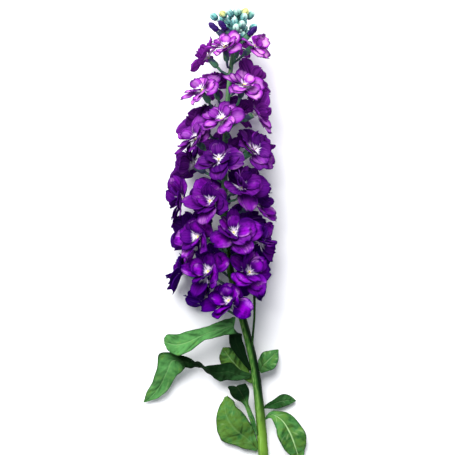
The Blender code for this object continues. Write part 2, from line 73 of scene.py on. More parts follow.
# The stem's centreline, from the cut end to the tip, its radius at places along Y, and how its ridges
# and the swellings at the leaves' feet run. The stem gets painted shade on the side at this turn round it,
# which is turned away from the light, most of all along its bare part.
STEM_ROUTE = [
    (34.5, -179.0, 5.0),
    (31.0, -135.0, 9.5),
    (25.5, -95.0, 16.0),
    (13.5, -48.0, 24.5),
    (4.8, -8.0, 30.0),
    (3.0, 46.0, 34.0),
    (5.5, 108.0, 35.5),
    (13.5, 173.0, 37.0),
]
STEM_RADII = [(-179.0, 3.9), (-75.0, 3.1), (40.0, 2.4), (173.0, 1.3)]
STEM_RINGS = 150
STEM_SIDES = 28
STEM_LINE_POINTS = 3000
BROAD_RIDGES = 5.0
FINE_RIDGES = 11.0
FINE_RIDGE_SHARE = 0.3
RIDGE_TURNS = 3.0
SWELLING = 0.07
SWELLING_LENGTH = 3.0
SHADED_TURN = 100.0
CUT_DEPTH = 0.05

# Each open floret as it is first placed: its place along Y, its turn round the stem (0 faces up and
# 90 faces +X), and how far out from the stem its throat stands. First those that show from above.
SEEN_FLORETS = [
    (139.0, -80.0, 17.0),
    (144.0, -24.0, 16.0),
    (147.0, 42.0, 17.0),
    (112.0, -62.0, 21.0),
    (111.0, 38.0, 22.0),
    (101.0, 60.0, 21.0),
    (88.0, -11.0, 22.5),
    (72.0, -65.0, 23.5),
    (67.0, 62.0, 23.5),
    (57.0, 6.0, 22.0),
    (42.0, 17.0, 23.5),
    (26.0, 64.0, 22.0),
    (33.0, -73.0, 29.5),
    (27.0, -19.0, 23.5),
    (-1.0, -33.0, 24.5),
    (4.0, 5.0, 24.5),
    (1.0, 48.0, 22.5),
    (-30.0, -90.0, 33.5),
    (-26.0, -42.0, 24.5),
    (-28.0, 25.0, 23.5),
    (-47.0, -14.0, 24.5),
]
OTHER_FLORETS = [
    (125.0, 118.0, 16.5),
    (123.0, -128.0, 16.5),
    (145.0, 165.0, 15.5),
    (101.0, 168.0, 18.5),
    (72.0, 119.0, 22.0),
    (90.0, -128.0, 21.0),
    (55.0, -105.0, 23.5),
    (65.0, -170.0, 21.0),
    (41.0, 143.0, 22.0),
    (30.0, -160.0, 19.5),
    (13.0, 108.0, 22.0),
    (20.0, -102.0, 24.5),
    (-5.0, -138.0, 21.0),
    (-44.0, -84.0, 25.0),
    (-7.0, 158.0, 16.0),
]

# How the florets are evened out, step by step, round the stem: the room that two of them take, the
# share of an overlap that one step clears, the longest step, how strongly a floret is held to its first
# place and how fast it moves. Those of the low end stay above the stem, up to a turn.
EVENING_STEPS = 200
SPACING_LOW = 34.0
SPACING_TOP = 30.0
SPACING_CHANGES_AT = 100.0
PUSH = 0.12
LONGEST_STEP = 1.5
SEEN_HOLD = 0.07
SEEN_PACE = 0.5
OTHER_HOLD = 0.003
OTHER_PACE = 1.0
LOW_END_BELOW = -20.0
LOW_END_TURN = 118.0

# Where the florets stand and how they differ from the low end to the top: their radius, how far they
# lean towards the tip, and how far they face aside. A floret's dish lies above its throat.
FLORETS_FROM = -50.0
FLORETS_TO = 150.0
FLORET_RADIUS_LOW = 20.5
FLORET_RADIUS_TOP = 14.0
RADIUS_VARIES = 0.06
LEAN_LOW = 14.0
LEAN_TOP = 50.0
LEAN_VARIES = 14.0
SWAY = 20.0
DISH_LIFT = 4.0
NEIGHBOURS = 14

# The petals of a floret's layers: how many, their length and half width as shares of the floret's
# radius, where their roots stand in the throat (out from its axis and up), the pitch at which they
# leave it, how much steeper they stand, how much of the twist they take, and how far above the layer
# under them they stay. The first two layers are the solids' own, and the third fills between them.
Layer = namedtuple("Layer", "count length half_width root first rise turned above")
LAYERS = [
    Layer(5, 1.0, 0.43, (1.3, 1.9), 58.0, 0.0, 1.0, 16.0),
    Layer(3, 0.66, 0.29, (0.6, 3.4), 86.0, 32.0, 0.1, 16.0),
]
FILLING_LAYER = Layer(4, 0.8, 0.4, (1.1, 2.4), 66.0, 8.0, 0.8, 7.0)
FILLING_VARIES = 9.0
CLAW = 0.18
PETAL_TWIST = 13.0
TWIST_BY_PITCH = 0.4
NEARLY_BESIDE = 0.2
STEEPEST = 84.0
PETAL_STEPS = 12
HALF_SIDE = 36.0
# What is tried to find the widest petal that is clear of its neighbours: pitches, shares of its full
# length, the places along and across it that have to be clear, and the turns of the whole floret.
PITCHES = range(6, 80, 8)
SHARES = (1.0, 0.92, 0.84, 0.76, 0.68)
PROBES = ((1.0, 0.0), (0.75, -1.0), (0.75, 1.0))
STARTS = range(0, 72, 12)
WIDE_AT_LEAST = 0.3
WIDTHS = [(0.0, 0.16), (0.2, 0.4), (0.45, 0.84), (0.7, 1.0), (0.9, 0.86), (1.0, 0.6)]
WAVE_HEIGHT = 0.04
WAVE_ACROSS = 3.0

# What differs from one petal to the next: its length, its turn round the throat, how far it curls back
# (less where it is steeper, up to a pitch at which it wouldn't) and how far its sides rise.
LENGTH_FACTORS = (0.95, 1.08)
TURN_VARIES = 4.0
CURLS = (4.0, 22.0)
UNCURLED_AT = 100.0
CUPS = (0.02, 0.14)
FLORET_SEED = 900
PETAL_SEED = 100
FILLING_SEED = 300
RUFFLE_SEED = 500

# How a petal is drawn: the grid of its faces, the outline of its blade, its notch and crease, and the
# ruffles and finer scallops that run round its edge.
PETAL_ROWS = 11
PETAL_COLUMNS = 8
CLAW_WIDTH = 0.2
CLAW_END = 0.22
BLADE_MIDDLE = 0.45
BLADE_ASPECT = 0.9
BLADE_PEAK = 0.9
BLADE_FULLNESS = 0.55
BLADE_END = 0.93
TIP_ROUNDING = 0.1
NOTCH_WIDTH = 0.25
CREASE = 0.05
CREASE_WIDTH = 0.16
RUFFLES = (2.6, 4.2)
SCALLOPS = (5.5, 8.0)
SCALLOP_DEPTH = 0.018
SCALLOP_SHARE = 0.35
# How much painted shade the florets get at places along Y, darkest in the spike's shaded tiers.
PAINTED_SHADE_ALONG_Y = [(-50.0, 0.1), (-15.0, 0.25), (20.0, 0.5), (57.0, 0.85), (75.0, 0.4), (100.0, 0.0)]

# Room between one floret and the next, above the floor, below the lowest florets, at the right edge of
# the spike and round the purple buds, and how often the petals are eased into it.
ROOM = 0.5
SOFT_ROOM = 1.5
FLOOR_ROOM = 0.33
FLOOR_SOFT = 1.3
SEAT_GAP = 0.3
LOW_WALLS = [((8.0, -67.0, 0.0), (-0.4, -1.0, 0.0)), ((8.0, -67.0, 0.0), (0.3, -1.0, 0.0))]
RIGHT_EDGE = ((44.6, 1.0, 0.0), (1.0, -0.23, 0.0))
BUD_ROOM = 4.2
EASING_ROUNDS = 3

# Stalks: their thickness, how far below its foot a stalk bends, how it swells towards its top and how
# far it reaches into what it carries. DROP is how far down the stem a stalk leaves it.
STALK_RADIUS = 0.9
STALK_POINTS = 9
STALK_SIDES = 8
STALK_BEND = 0.35
STALK_ARCH = 0.4
STALK_SWELLS = 0.25
STALK_SEAT = 0.6
FLORET_DROP = 13.0
PURPLE_BUD_DROP = 8.0
GREEN_BUD_DROP = 9.0
BARE_STALK_FROM = -90.0
BARE_STALK_END = (26.5, -43.0, 31.0)
# Where the bare stalk stands between the stem's lit and shaded sides, which sets its painted shade.
BARE_STALK_SHADE = 0.1

# Calyces: the swell of the outside, the share of the sheet that makes it, how deep the hollow goes, how
# thick its wall is, and how round, how long and how full the four sepals are.
CALYX_LENGTH = 8.5
CALYX_RADIUS = 2.4
CALYX_SWELL = [(0.0, 0.4), (0.1, 0.8), (0.3, 1.0), (0.7, 0.96), (0.9, 0.88), (1.0, 0.96)]
CALYX_GRID = (14, 24)
CALYX_OUTSIDE = 0.72
CALYX_HOLLOW = 0.6
CALYX_WALL = 0.2
CALYX_TURN = 37.0
SEPAL_ROUND = 0.7
SEPAL_TIP = 0.16
SEPAL_SWELL = 0.1

# Each green bud and each purple one: its place along Y, its turn round the stem and how far out from
# the stem it stands.
GREEN_BUDS = [
    (170.0, -84, 15.5),
    (171.5, -50, 12.0),
    (172.5, -45, 5.5),
    (173.0, -5, 4.5),
    (173.0, 50, 4.0),
    (169.0, 32, 7.0),
    (163.5, 22, 8.5),
    (166.0, -8, 7.5),
    (160.5, 2, 7.5),
    (171.0, 95, 7.0),
    (173.0, 160, 5.5),
    (169.0, -125, 10.0),
    (166.0, 150, 9.0),
    (162.0, 98, 11.0),
]
GREEN_BUD_LENGTH = 7.5
GREEN_BUD_RADIUS = 2.8
GREEN_BUD_SWELL = [
    (0.0, 0.4),
    (0.12, 0.78),
    (0.35, 1.0),
    (0.62, 0.98),
    (0.82, 0.76),
    (0.94, 0.45),
    (1.0, 0.1),
]
GREEN_BUD_GRID = (16, 20)
BUD_SEAM_WIDTH = 0.35
BUD_SEAM_DEPTH = 0.2
BUD_SEAM_TWIST = 0.5
BUD_SEED = 11
BUD_SIZES = (0.95, 1.1)
BUD_TONES = (0.0, 0.7)
BUD_TURNS = (0.0, 90.0)
BUD_STALK_TONE = 0.3
YELLOW_BUDS = (1, 4)

# The young buds round each green one: how many, and their turns aside, places along Y, shares of its
# reach and sizes.
YOUNG_BUDS = 3
YOUNG_TURNS = (-60.0, 60.0)
YOUNG_PLACES = (-7.0, 1.0)
YOUNG_REACHES = (0.4, 0.95)
YOUNG_SIZES = (0.4, 0.75)

# The purple buds: petals wound round each other, with the winds and the steps between them.
PURPLE_BUDS = [(161.0, -84, 13.5), (162.0, -54, 9.0), (157.5, 62, 11.5), (158.0, -150, 13.0)]
PURPLE_BUD_LENGTH = 10.0
PURPLE_BUD_RADIUS = 2.6
PURPLE_BUD_SWELL = [(0.0, 0.7), (0.2, 0.96), (0.5, 1.05), (0.78, 0.86), (0.93, 0.5), (1.0, 0.16)]
PURPLE_BUD_GRID = (22, 40)
PURPLE_BUD_TURN = 70.0
WOUND_PETALS = 4.0
WINDING = 0.55
WIND_STEP = 0.2
WIND_EDGE = 0.14
WIND_EDGE_WIDTH = 0.1
BUD_CALYX_LENGTH = 5.0
BUD_CALYX_RADIUS = PURPLE_BUD_RADIUS * 0.96
BUD_LEAN = 0.9

# The stamens and the stigma that stand in each throat: their thickness, how high the thin threads
# start and end, how far from the middle they stand, and the pollen sac that fills a thread's top half.
EYE_POINTS = 7
EYE_SIDES = 8
EYE_TURN = 53.0
STAMENS = 6
STAMEN_RING = 0.9
STAMEN_FOOT = 2.0
STAMEN_TOPS = (4.2, 5.2, 5.2)
THREAD_RADIUS = 0.22
SAC_RADIUS = 0.42
SAC_FROM = 0.55
STIGMA_FROM = 1.0
STIGMA_TOP = 4.6
STIGMA_RADIUS = 0.5
STIGMA_NARROWS = 0.1

# Leaves, from the stem to the tip: rows of the midrib's place and of the way from it to one edge.
LEAVES = {
    "leaf_long_left": [
        ((24.0, -103.5, 16.0), (-0.9, -0.5, -0.6)),
        ((17.5, -92.5, 20.0), (-2.8, -1.6, -0.8)),
        ((12.5, -82.0, 25.0), (-5.0, -1.8, -1.0)),
        ((11.0, -72.5, 29.5), (-4.0, 2.8, -2.8)),
        ((9.5, -68.2, 33.0), (1.0, 6.3, -3.6)),
        ((2.0, -70.0, 33.5), (1.8, 6.6, -1.8)),
        ((-8.0, -73.0, 32.0), (1.2, 5.4, -2.0)),
        ((-17.0, -77.0, 30.5), (1.0, 6.8, -1.5)),
        ((-27.0, -81.5, 28.5), (0.4, 8.6, -1.0)),
        ((-34.8, -83.0, 26.5), (-0.6, 8.2, -0.3)),
        ((-40.6, -81.8, 25.0), (-1.4, 6.8, 0.0)),
        ((-44.0, -80.8, 24.0), (-0.1, 1.4, 0.0)),
    ],
    "leaf_twisted_left": [
        ((23.4, -108.0, 13.0), (0.5, 1.6, 0.5)),
        ((15.5, -107.5, 12.5), (1.0, 3.8, 1.0)),
        ((6.5, -104.8, 13.5), (1.0, 6.6, -2.0)),
        ((-2.0, -105.2, 15.5), (-1.0, 6.4, 1.5)),
        ((-9.5, -103.5, 16.5), (-3.2, 4.6, 3.6)),
        ((-15.5, -98.6, 14.5), (-1.6, 2.2, 4.4)),
        ((-22.5, -98.2, 13.0), (0.2, 3.6, 2.4)),
        ((-30.0, -96.5, 14.0), (-2.0, 5.0, -1.5)),
        ((-37.8, -96.2, 15.0), (-9.6, 6.2, 1.0)),
        ((-42.0, -104.5, 13.0), (-8.2, 2.2, 1.5)),
        ((-47.0, -115.0, 8.8), (-7.0, 1.8, 0.8)),
        ((-53.5, -123.5, 6.0), (-4.8, 1.8, 0.3)),
        ((-60.3, -129.0, 4.2), (-0.3, 0.2, 0.0)),
    ],
    "leaf_short_left": [
        ((24.6, -113.0, 10.0), (1.0, 1.2, 0.2)),
        ((16.0, -103.5, 8.5), (4.0, 4.0, 0.5)),
        ((9.0, -96.0, 9.0), (6.0, 6.0, 1.0)),
        ((4.5, -90.0, 8.5), (5.0, 3.6, 1.0)),
        ((2.0, -86.0, 7.0), (0.3, 0.2, 0.0)),
    ],
    "leaf_short_right": [
        ((30.2, -104.5, 14.5), (0.8, -1.2, 0.0)),
        ((33.5, -99.5, 15.5), (4.0, -4.5, -1.5)),
        ((37.2, -96.0, 14.5), (5.0, -5.8, -0.5)),
        ((41.0, -92.3, 11.5), (3.6, -4.0, -1.5)),
        ((45.5, -87.6, 7.0), (0.3, -0.2, 0.0)),
    ],
    "leaf_broad_low": [
        ((28.8, -166.5, 6.0), (1.0, 1.3, 0.3)),
        ((22.0, -158.5, 6.5), (5.0, 6.2, 1.0)),
        ((13.0, -151.5, 7.5), (9.6, 8.6, 2.6)),
        ((6.5, -143.5, 7.5), (8.2, 9.6, 2.2)),
        ((3.6, -133.5, 6.0), (6.2, 6.0, 1.5)),
        ((4.4, -124.6, 4.8), (1.2, 0.4, 0.0)),
    ],
    "leaf_side_shoot": [
        ((28.2, -154.5, 10.0), (0.9, 0.4, 1.2)),
        ((24.8, -141.5, 14.5), (1.6, 0.8, 1.3)),
        ((20.5, -130.0, 17.5), (1.8, 1.0, 1.5)),
        ((16.5, -121.5, 19.5), (6.2, 2.8, 1.6)),
        ((13.5, -117.0, 18.5), (6.8, 1.8, 0.5)),
        ((12.0, -116.5, 14.5), (5.4, 1.0, 0.0)),
        ((12.5, -119.0, 12.0), (0.4, 0.1, 0.0)),
    ],
    "leaf_arching_right": [
        ((35.9, -141.0, 10.0), (0.3, 1.6, 0.6)),
        ((41.0, -138.3, 13.0), (0.8, 3.0, 0.6)),
        ((48.5, -143.0, 15.0), (5.5, 5.0, -1.5)),
        ((54.5, -152.5, 14.0), (9.5, 4.5, -3.0)),
        ((58.5, -163.0, 10.0), (8.5, 2.5, -3.0)),
        ((61.0, -171.0, 6.0), (4.5, 1.0, -1.5)),
        ((62.3, -176.5, 3.2), (0.3, 0.1, 0.0)),
    ],
    "leaf_low_right": [
        ((35.4, -132.5, 8.5), (0.3, 1.4, 0.2)),
        ((41.0, -130.5, 7.0), (0.8, 3.6, -0.3)),
        ((47.0, -128.5, 6.0), (0.8, 5.4, -0.5)),
        ((53.5, -127.5, 5.0), (0.5, 4.0, -0.5)),
        ((59.5, -128.0, 3.8), (0.0, 0.3, 0.0)),
    ],
}
# How a leaf is folded and waved: its sides rise by a share of its half width, and waves, frills and
# wrinkles run along it wherever it is wide enough to hold them. A groove runs along its midrib. SEAT
# is how far its root stands off the stem's side, and STEP is the share of it that gives its direction.
LEAF_FOLD = 0.14
LEAF_WAVE = 0.9
LEAF_WAVE_LENGTH = 17.0
LEAF_WAVE_ACROSS = 1.9
LEAF_WAVES_FROM = 5.0
FRILL = 0.4
FRILL_WAVES = 2.3
FRILLS_FROM = 4.0
WRINKLES_FROM = 6.0
GROOVE = 0.35
GROOVE_WIDTH = 0.08
WRINKLE_WAVES = (2.9, 4.7)
WRINKLE_SLANTS = (-4.0, 3.0)
FINER_WRINKLES = 0.6
EDGE_UNEVEN = 0.03
EDGE_WAVES = 1.3
LEAF_SEAT = 0.6
LEAF_STEP = 0.02
LEAF_ROWS_PER_POINT = 11
LEAF_COLUMNS = 22
# How each leaf is coloured: how bright and how yellow it is, how strongly its midrib shows, and how
# much painted shade it has at places along it, from 0 at the stem to 1 at its tip.
LeafLook = namedtuple("LeafLook", "bright yellow rib shades")
LEAF_LOOKS = {
    "leaf_long_left": LeafLook(0.75, 0.1, 0.2, [(0.0, 1.0), (0.3, 1.0), (0.38, 0.1), (1.0, 0.0)]),
    "leaf_twisted_left": LeafLook(0.6, 0.25, 0.15, [(0.0, 0.7), (0.42, 0.95), (0.6, 0.8), (0.68, 0.1)]),
    "leaf_short_left": LeafLook(0.6, 0.85, 0.3, [(0.0, 0.4), (1.0, 0.0)]),
    "leaf_short_right": LeafLook(0.5, 0.3, 0.3, [(0.0, 0.6), (0.5, 0.2), (1.0, 0.1)]),
    "leaf_broad_low": LeafLook(0.45, 0.75, 0.1, [(0.0, 0.5), (0.3, 0.42), (0.7, 0.3), (1.0, 0.25)]),
    "leaf_side_shoot": LeafLook(0.5, 0.4, 0.9, [(0.0, 0.1), (0.32, 0.2), (0.46, 1.0), (1.0, 1.0)]),
    "leaf_arching_right": LeafLook(0.35, 0.45, 1.0, [(0.0, 0.1), (1.0, 0.25)]),
    "leaf_low_right": LeafLook(0.35, 0.0, 0.3, [(0.0, 0.6), (1.0, 0.5)]),
}

# Places along the stem, in metres, between which its colour changes: its pale cut end, its bare part,
# where the painted shade on its shaded side is strongest, and the part among the florets.
LOW_STEM = (-0.115, -0.155)
BARE_STEM_FROM = (-0.16, -0.11)
BARE_STEM_TO = (0.08, -0.02)
SPIKE_STEM = (-0.03, 0.06)

# The stage: sizes in metres. The picture is measured at the stem's height.
FLOOR_SIZE = 4.0
KEY_TURNS = (-33.0, -14.0, 0.0)
KEY_SPREAD = 44.0
SKY = (0.9, 0.93, 1.0, 1.0)
STEM_HEIGHT = 0.03
CAMERA_REACH = 20.0


def srgb(red, green, blue):
    """A colour as Blender holds it, from its screen values of 0 to 255."""
    shares = [value / 255.0 for value in (red, green, blue)]
    return tuple(s / 12.92 if s <= 0.04045 else ((s + 0.055) / 1.055) ** 2.4 for s in shares)


def colour_setting(name, description, screen):
    """A colour that a user can set, with its default as screen values."""
    return FloatVectorProperty(
        name=name, description=description, default=srgb(*screen), subtype="COLOR", size=3, min=0.0, max=1.0
    )


def length_setting(name, description, millimetres):
    """A length that a user can set."""
    default = millimetres * MM
    return FloatProperty(
        name=name, description=description, default=default, subtype="DISTANCE", unit="LENGTH", min=0.0
    )


def share_setting(name, description, default, least, most):
    """A share of a length that a user can set."""
    return FloatProperty(
        name=name, description=description, default=default, subtype="FACTOR", min=least, max=most
    )


class StockPetalSettings(bpy.types.PropertyGroup):
    """Sizes and colours of the florets' petals."""

    thickness: length_setting("Petal thickness", "How thick a petal is", 0.35)
    ruffle: length_setting("Ruffle", "How far a petal's edge waves up and down", 0.95)
    overlap: length_setting("Overlap", "How far the florets reach into each other's room", 3.0)
    growth: share_setting("Growth", "Length of a petal against the solid's", 1.1, 0.8, 1.3)
    notch: share_setting("Notch", "Depth of the notch in a petal's tip", 0.08, 0.0, 0.3)
    low: colour_setting("Low florets", "Petals at the spike's low end", (106, 0, 162))
    top: colour_setting("Top florets", "Petals near the tip", (198, 68, 218))
    # Painted highlights on the petals: low_highlight on the low florets and light on the top ones, as a pale
    # flush over the blades and a shine near the rim; light also colours the paler streaks on the petals'
    # backs and on the rolled buds.
    low_highlight: colour_setting("Low flush", "Brighter flush on the low florets' blades", (192, 18, 240))
    light: colour_setting("Top flush", "Paler flush on the top florets' blades", (248, 172, 244))
    # dark is the colour of the veins and also of the painted shade on the petals.
    dark: colour_setting("Dark flush", "Deep colour between the veins", (26, 0, 70))
    eye: colour_setting("Eye", "Claws and streaks round the throat", (246, 234, 250))
    under: colour_setting("Undersides", "The petals' backs", (54, 6, 108))
    stamens: colour_setting("Stamens", "The stamens in each throat", (236, 224, 120))
    stigma: colour_setting("Stigma", "The stigma in each throat", (176, 196, 92))
    grains: colour_setting("Grains", "Greener grains on stamens and stigma", (120, 148, 60))


class StockStemSettings(bpy.types.PropertyGroup):
    """Sizes and colours of the stem, calyces and buds."""

    ridge: share_setting("Ridges", "Height of the stem's ridges against its radius", 0.07, 0.0, 0.3)
    green: colour_setting("Stem", "The bare stem", (48, 100, 36))
    low: colour_setting("Low stem", "The stem near its cut end", (104, 146, 50))
    dark: colour_setting("Dark side", "Grooves and the shaded side", (2, 20, 8))
    pale: colour_setting("Pale streaks", "Streaks and ridges of the stem", (142, 184, 96))
    pith: colour_setting("Pith", "The stem's cut face", (200, 212, 150))
    shaded: colour_setting("Stem in the spike", "The stem among the florets", (104, 150, 112))
    calyx: colour_setting("Calyx", "The sepals round each floret", (72, 122, 96))
    flush: colour_setting("Flush", "Purple flush on sepals", (48, 20, 86))
    bud: colour_setting("Green buds", "Closed buds of the tip", (116, 186, 182))
    bud_deep: colour_setting("Bud blotches", "Deeper blotches on the buds", (62, 120, 128))
    # The painted shade in the buds' seams and over their feet.
    bud_painted_shade: colour_setting("Bud seams", "Seams and feet of the buds", (18, 32, 62))
    bud_light: colour_setting("Bud tips", "Tips of the closed buds", (196, 232, 220))
    bud_yellow: colour_setting("Yellow buds", "Tips of the yellow buds", (226, 226, 140))
    rolled: colour_setting("Rolled buds", "Purple buds before they open", (46, 8, 98))


class StockLeafSettings(bpy.types.PropertyGroup):
    """Sizes and colours of the leaves."""

    thickness: length_setting("Leaf thickness", "How thick a leaf is", 0.6)
    wrinkle: length_setting("Wrinkles", "Height of the wrinkles between the veins", 0.24)
    green: colour_setting("Leaf", "A leaf's deeper patches", (28, 76, 28))
    bright: colour_setting("Bright leaf", "A leaf's lit patches", (82, 140, 76))
    yellow: colour_setting("Yellow patches", "Yellower patches", (92, 128, 46))
    dark: colour_setting("Dark folds", "Folds, edges and shaded leaves", (2, 20, 6))
    rib: colour_setting("Midrib", "Midrib and fine veins", (166, 204, 140))
    under: colour_setting("Leaf underside", "The leaves' backs", (70, 118, 66))


class StockStageSettings(bpy.types.PropertyGroup):
    """The floor, the lights and the camera."""

    floor: colour_setting("Floor", "The pale floor", (250, 250, 252))
    grain: colour_setting("Floor grain", "The faint grain of the floor", (244, 244, 247))
    key: FloatProperty(name="Key light", description="Strength of the main light", default=5.0, min=0.0)
    fill: FloatProperty(name="Fill light", description="Strength of the sky's light", default=0.45, min=0.0)
    camera_height: length_setting("Camera height", "Height of the camera over the floor", 2400.0)
    view_height: length_setting("View height", "How much the picture shows along Y", 354.9)
    view_middle: length_setting("View middle", "The place along Y in the middle of the picture", 9.02)


class Link:
    """A shader socket that takes part in sums: each operator adds its Math node."""

    def __init__(self, finish, socket):
        self.finish, self.socket = finish, socket

    def maths(self, operation, first, second):
        return self.finish.node("ShaderNodeMath", {"operation": operation}, {0: first, 1: second})

    def __add__(self, other):
        return self.maths("ADD", self, other)

    def __radd__(self, other):
        return self.maths("ADD", other, self)

    def __sub__(self, other):
        return self.maths("SUBTRACT", self, other)

    def __rsub__(self, other):
        return self.maths("SUBTRACT", other, self)

    def __mul__(self, other):
        return self.maths("MULTIPLY", self, other)

    def __rmul__(self, other):
        return self.maths("MULTIPLY", other, self)

    def __abs__(self):
        return self.maths("ABSOLUTE", self, 0.0)

    def larger(self, other):
        return self.maths("MAXIMUM", self, other)

    def band(self, low, high):
        """Rises smoothly from 0 at low to 1 at high, or falls where low is the greater."""
        sockets = {"Value": self, "From Min": low, "From Max": high}
        return self.finish.node("ShaderNodeMapRange", {"interpolation_type": "SMOOTHSTEP"}, sockets)


class Finish:
    """A material while it is built: coats of colour are laid one over another, and every node is
    added through node(). What is the same all over the surface is set on the shader itself."""

    def __init__(self, name, **constants):
        self.material = bpy.data.materials.new(name)
        self.material.use_nodes = True
        self.tree = self.material.node_tree
        self.shader = self.tree.nodes["Principled BSDF"]
        for socket, value in constants.items():
            self.shader.inputs[socket.replace("_", " ")].default_value = value
        self.place = self.node("ShaderNodeTexCoord", output="Object")
        self.colour = None

    def node(self, kind, settings=None, sockets=None, output=0):
        """Adds a node: its settings are set first, then the values or links of its sockets."""
        made = self.tree.nodes.new(kind)
        for name, value in (settings or {}).items():
            setattr(made, name, value)
        for key, value in (sockets or {}).items():
            if isinstance(value, Link):
                self.tree.links.new(value.socket, made.inputs[key])
            else:
                made.inputs[key].default_value = value
        return Link(self, made.outputs[output])

    def coat(self, colour, share=1.0):
        """Lays a colour over the coats below it, by this share. The first coat covers all."""
        self.colour = colour if self.colour is None else self.mix(self.colour, colour, share)

    def mix(self, first, second, share):
        """A colour between two colours."""
        sockets = {0: share, 6: opaque(first), 7: opaque(second)}
        return self.node("ShaderNodeMix", {"data_type": "RGBA"}, sockets, output=2)

    def parts(self, vector):
        """The three numbers of a vector."""
        return [self.node("ShaderNodeSeparateXYZ", sockets={0: vector}, output=axis) for axis in "XYZ"]

    def blade_place(self):
        """The place on a petal or leaf: -1 to 1 across it, and 0 to 1 along it."""
        across, along_it, _ = self.parts(self.node("ShaderNodeUVMap", {"uv_map": "UVMap"}))
        return across * 2.0 - 1.0, along_it

    def attributes(self, *names):
        """The numbers that give() stored on the mesh under these names."""
        return [self.node("ShaderNodeAttribute", {"attribute_name": name}, output="Fac") for name in names]

    def vector(self, x, y, z):
        """Three numbers as a vector, such as a place that stretches a pattern."""
        return self.node("ShaderNodeCombineXYZ", sockets={0: x, 1: y, 2: z})

    def noise(self, place, scale=1.0, detail=3.0, roughness=0.5):
        """A cloudy pattern between 0 and 1, finer where the scale is greater."""
        sockets = {"Vector": place, "Scale": scale, "Detail": detail, "Roughness": roughness}
        return self.node("ShaderNodeTexNoise", sockets=sockets)

    def bump(self, height, distance, strength=0.5):
        """Fine relief, with its greatest height in millimetres."""
        sockets = {"Height": height, "Strength": strength, "Distance": distance * MM}
        return self.node("ShaderNodeBump", sockets=sockets, output="Normal")

    def finished(self, roughness, normal=None):
        """Links what varies over the surface to the shader and gives the material."""
        for name, link in (("Base Color", self.colour), ("Roughness", roughness), ("Normal", normal)):
            if link is not None:
                self.tree.links.new(link.socket, self.shader.inputs[name])
        return self.material


def opaque(colour):
    """A colour with the fourth number that a colour socket takes; a link is left as it is."""
    return colour if isinstance(colour, Link) else (*colour, 1.0)


def petal_face_finish(look):
    """The petals' upper sides: violet with darker veins and rim and a white streaked claw. A pale flush
    on the blade and a shine near the rim are painted highlights; dark blotches, a darker band towards the
    claw, the shaded tiers of the spike and the petals that stand far inside it are painted shade."""
    finish = Finish("petal_face", Specular_IOR_Level=0.0)
    across, along_it = finish.blade_place()
    tone, height, deep, out = finish.attributes("tone", "height", "deep", "out")
    veins = finish.noise(finish.vector(across * 7.0, along_it * 1.3, tone * 60.0), detail=4.0)
    clouds = finish.noise(finish.place, scale=110.0)
    finish.coat(look.low)
    finish.coat(look.top, height)
    finish.coat(look.dark, veins.band(0.42, 0.7) * 0.6)
    # Painted highlight: a pale flush over the middle of the blade, pinker on the top florets.
    past_middle = along_it * 2.0 - 1.35
    middle = (across * across + past_middle * past_middle).band(0.6, 0.0)
    pink = height.band(0.35, 1.0)
    flush = 0.18 + pink * 0.5 + tone.band(0.2, 0.9) * (0.4 + height * 0.2)
    finish.coat(finish.mix(look.low_highlight, look.light, pink), middle * clouds.band(0.3, 0.6) * flush)
    # Painted shade: dark blotches, strongest on the low florets.
    finish.coat(look.dark, clouds.band(0.5, 0.68) * (0.8 - height * 0.5))
    finish.coat(look.dark, tone.band(0.5, 0.1) * (0.6 - height * 0.35))
    # Painted shade towards the claw, where the petals overlap.
    finish.coat(look.dark, (along_it + clouds * 0.3).band(0.8, 0.45) * (0.75 - height * 0.45))
    edge = abs(across).larger(along_it)
    # Painted highlight near the rim, streaked along the veins.
    shine = edge.band(0.5, 0.82) * clouds.band(0.48, 0.36) * tone.band(0.15, 0.6)
    shine = shine * (0.25 + veins.band(0.62, 0.4) * 0.45)
    finish.coat(finish.mix(look.low_highlight, look.light, 0.55 + height * 0.45), shine)
    rim = edge.band(0.8, 1.0)
    # A darker rim, and painted shade where the florets lie in the spike's shaded tiers, whichever is the
    # stronger.
    finish.coat(look.dark, (rim * 0.8).larger(deep * (0.7 + veins * 0.5)))
    claw = along_it + (veins - 0.5) * 0.5 + tone * 0.16
    finish.coat(look.eye, claw.band(0.42, 0.24))
    # Painted shade on the petals that stand far inside the spike.
    finish.coat(look.dark, out.band(0.95, 0.5) * (0.9 - height * 0.45))
    return finish.finished(0.42 + 0.2 * clouds, finish.bump(veins + clouds * 0.5, distance=0.5))


def petal_back_finish(look):
    """The petals' undersides: a duller blue violet, pale at the claw, with painted shade where they stand
    far inside the spike.
    """
    finish = Finish("petal_back", Specular_IOR_Level=0.0)
    across, along_it = finish.blade_place()
    tone, height, out = finish.attributes("tone", "height", "out")
    veins = finish.noise(finish.vector(across * 8.0, along_it * 1.1, tone * 50.0), detail=4.0)
    finish.coat(look.under)
    finish.coat(look.top, height * height * 0.7)
    finish.coat(look.dark, veins.band(0.4, 0.7) * 0.7)
    finish.coat(look.light, veins.band(0.4, 0.2) * 0.25)
    finish.coat(look.eye, (along_it + (veins - 0.5) * 0.3).band(0.26, 0.1) * 0.6)
    # Painted shade on the petals that stand far inside the spike.
    finish.coat(look.dark, out.band(1.0, 0.6) * (0.9 - height * 0.5))
    return finish.finished(0.5 + 0.2 * veins, finish.bump(veins, distance=0.5))


def eye_finish(look):
    """Stamens and stigma: yellow green, with pollen-yellow grains."""
    finish = Finish("floret_eye", Specular_IOR_Level=0.4)
    grains = finish.noise(finish.place, scale=1400.0, detail=2.0)
    [tone] = finish.attributes("tone")
    finish.coat(look.stigma)
    finish.coat(look.stamens, tone)
    finish.coat(look.grains, grains.band(0.5, 0.75) * 0.6)
    return finish.finished(0.5 + 0.2 * grains, finish.bump(grains, distance=0.2))


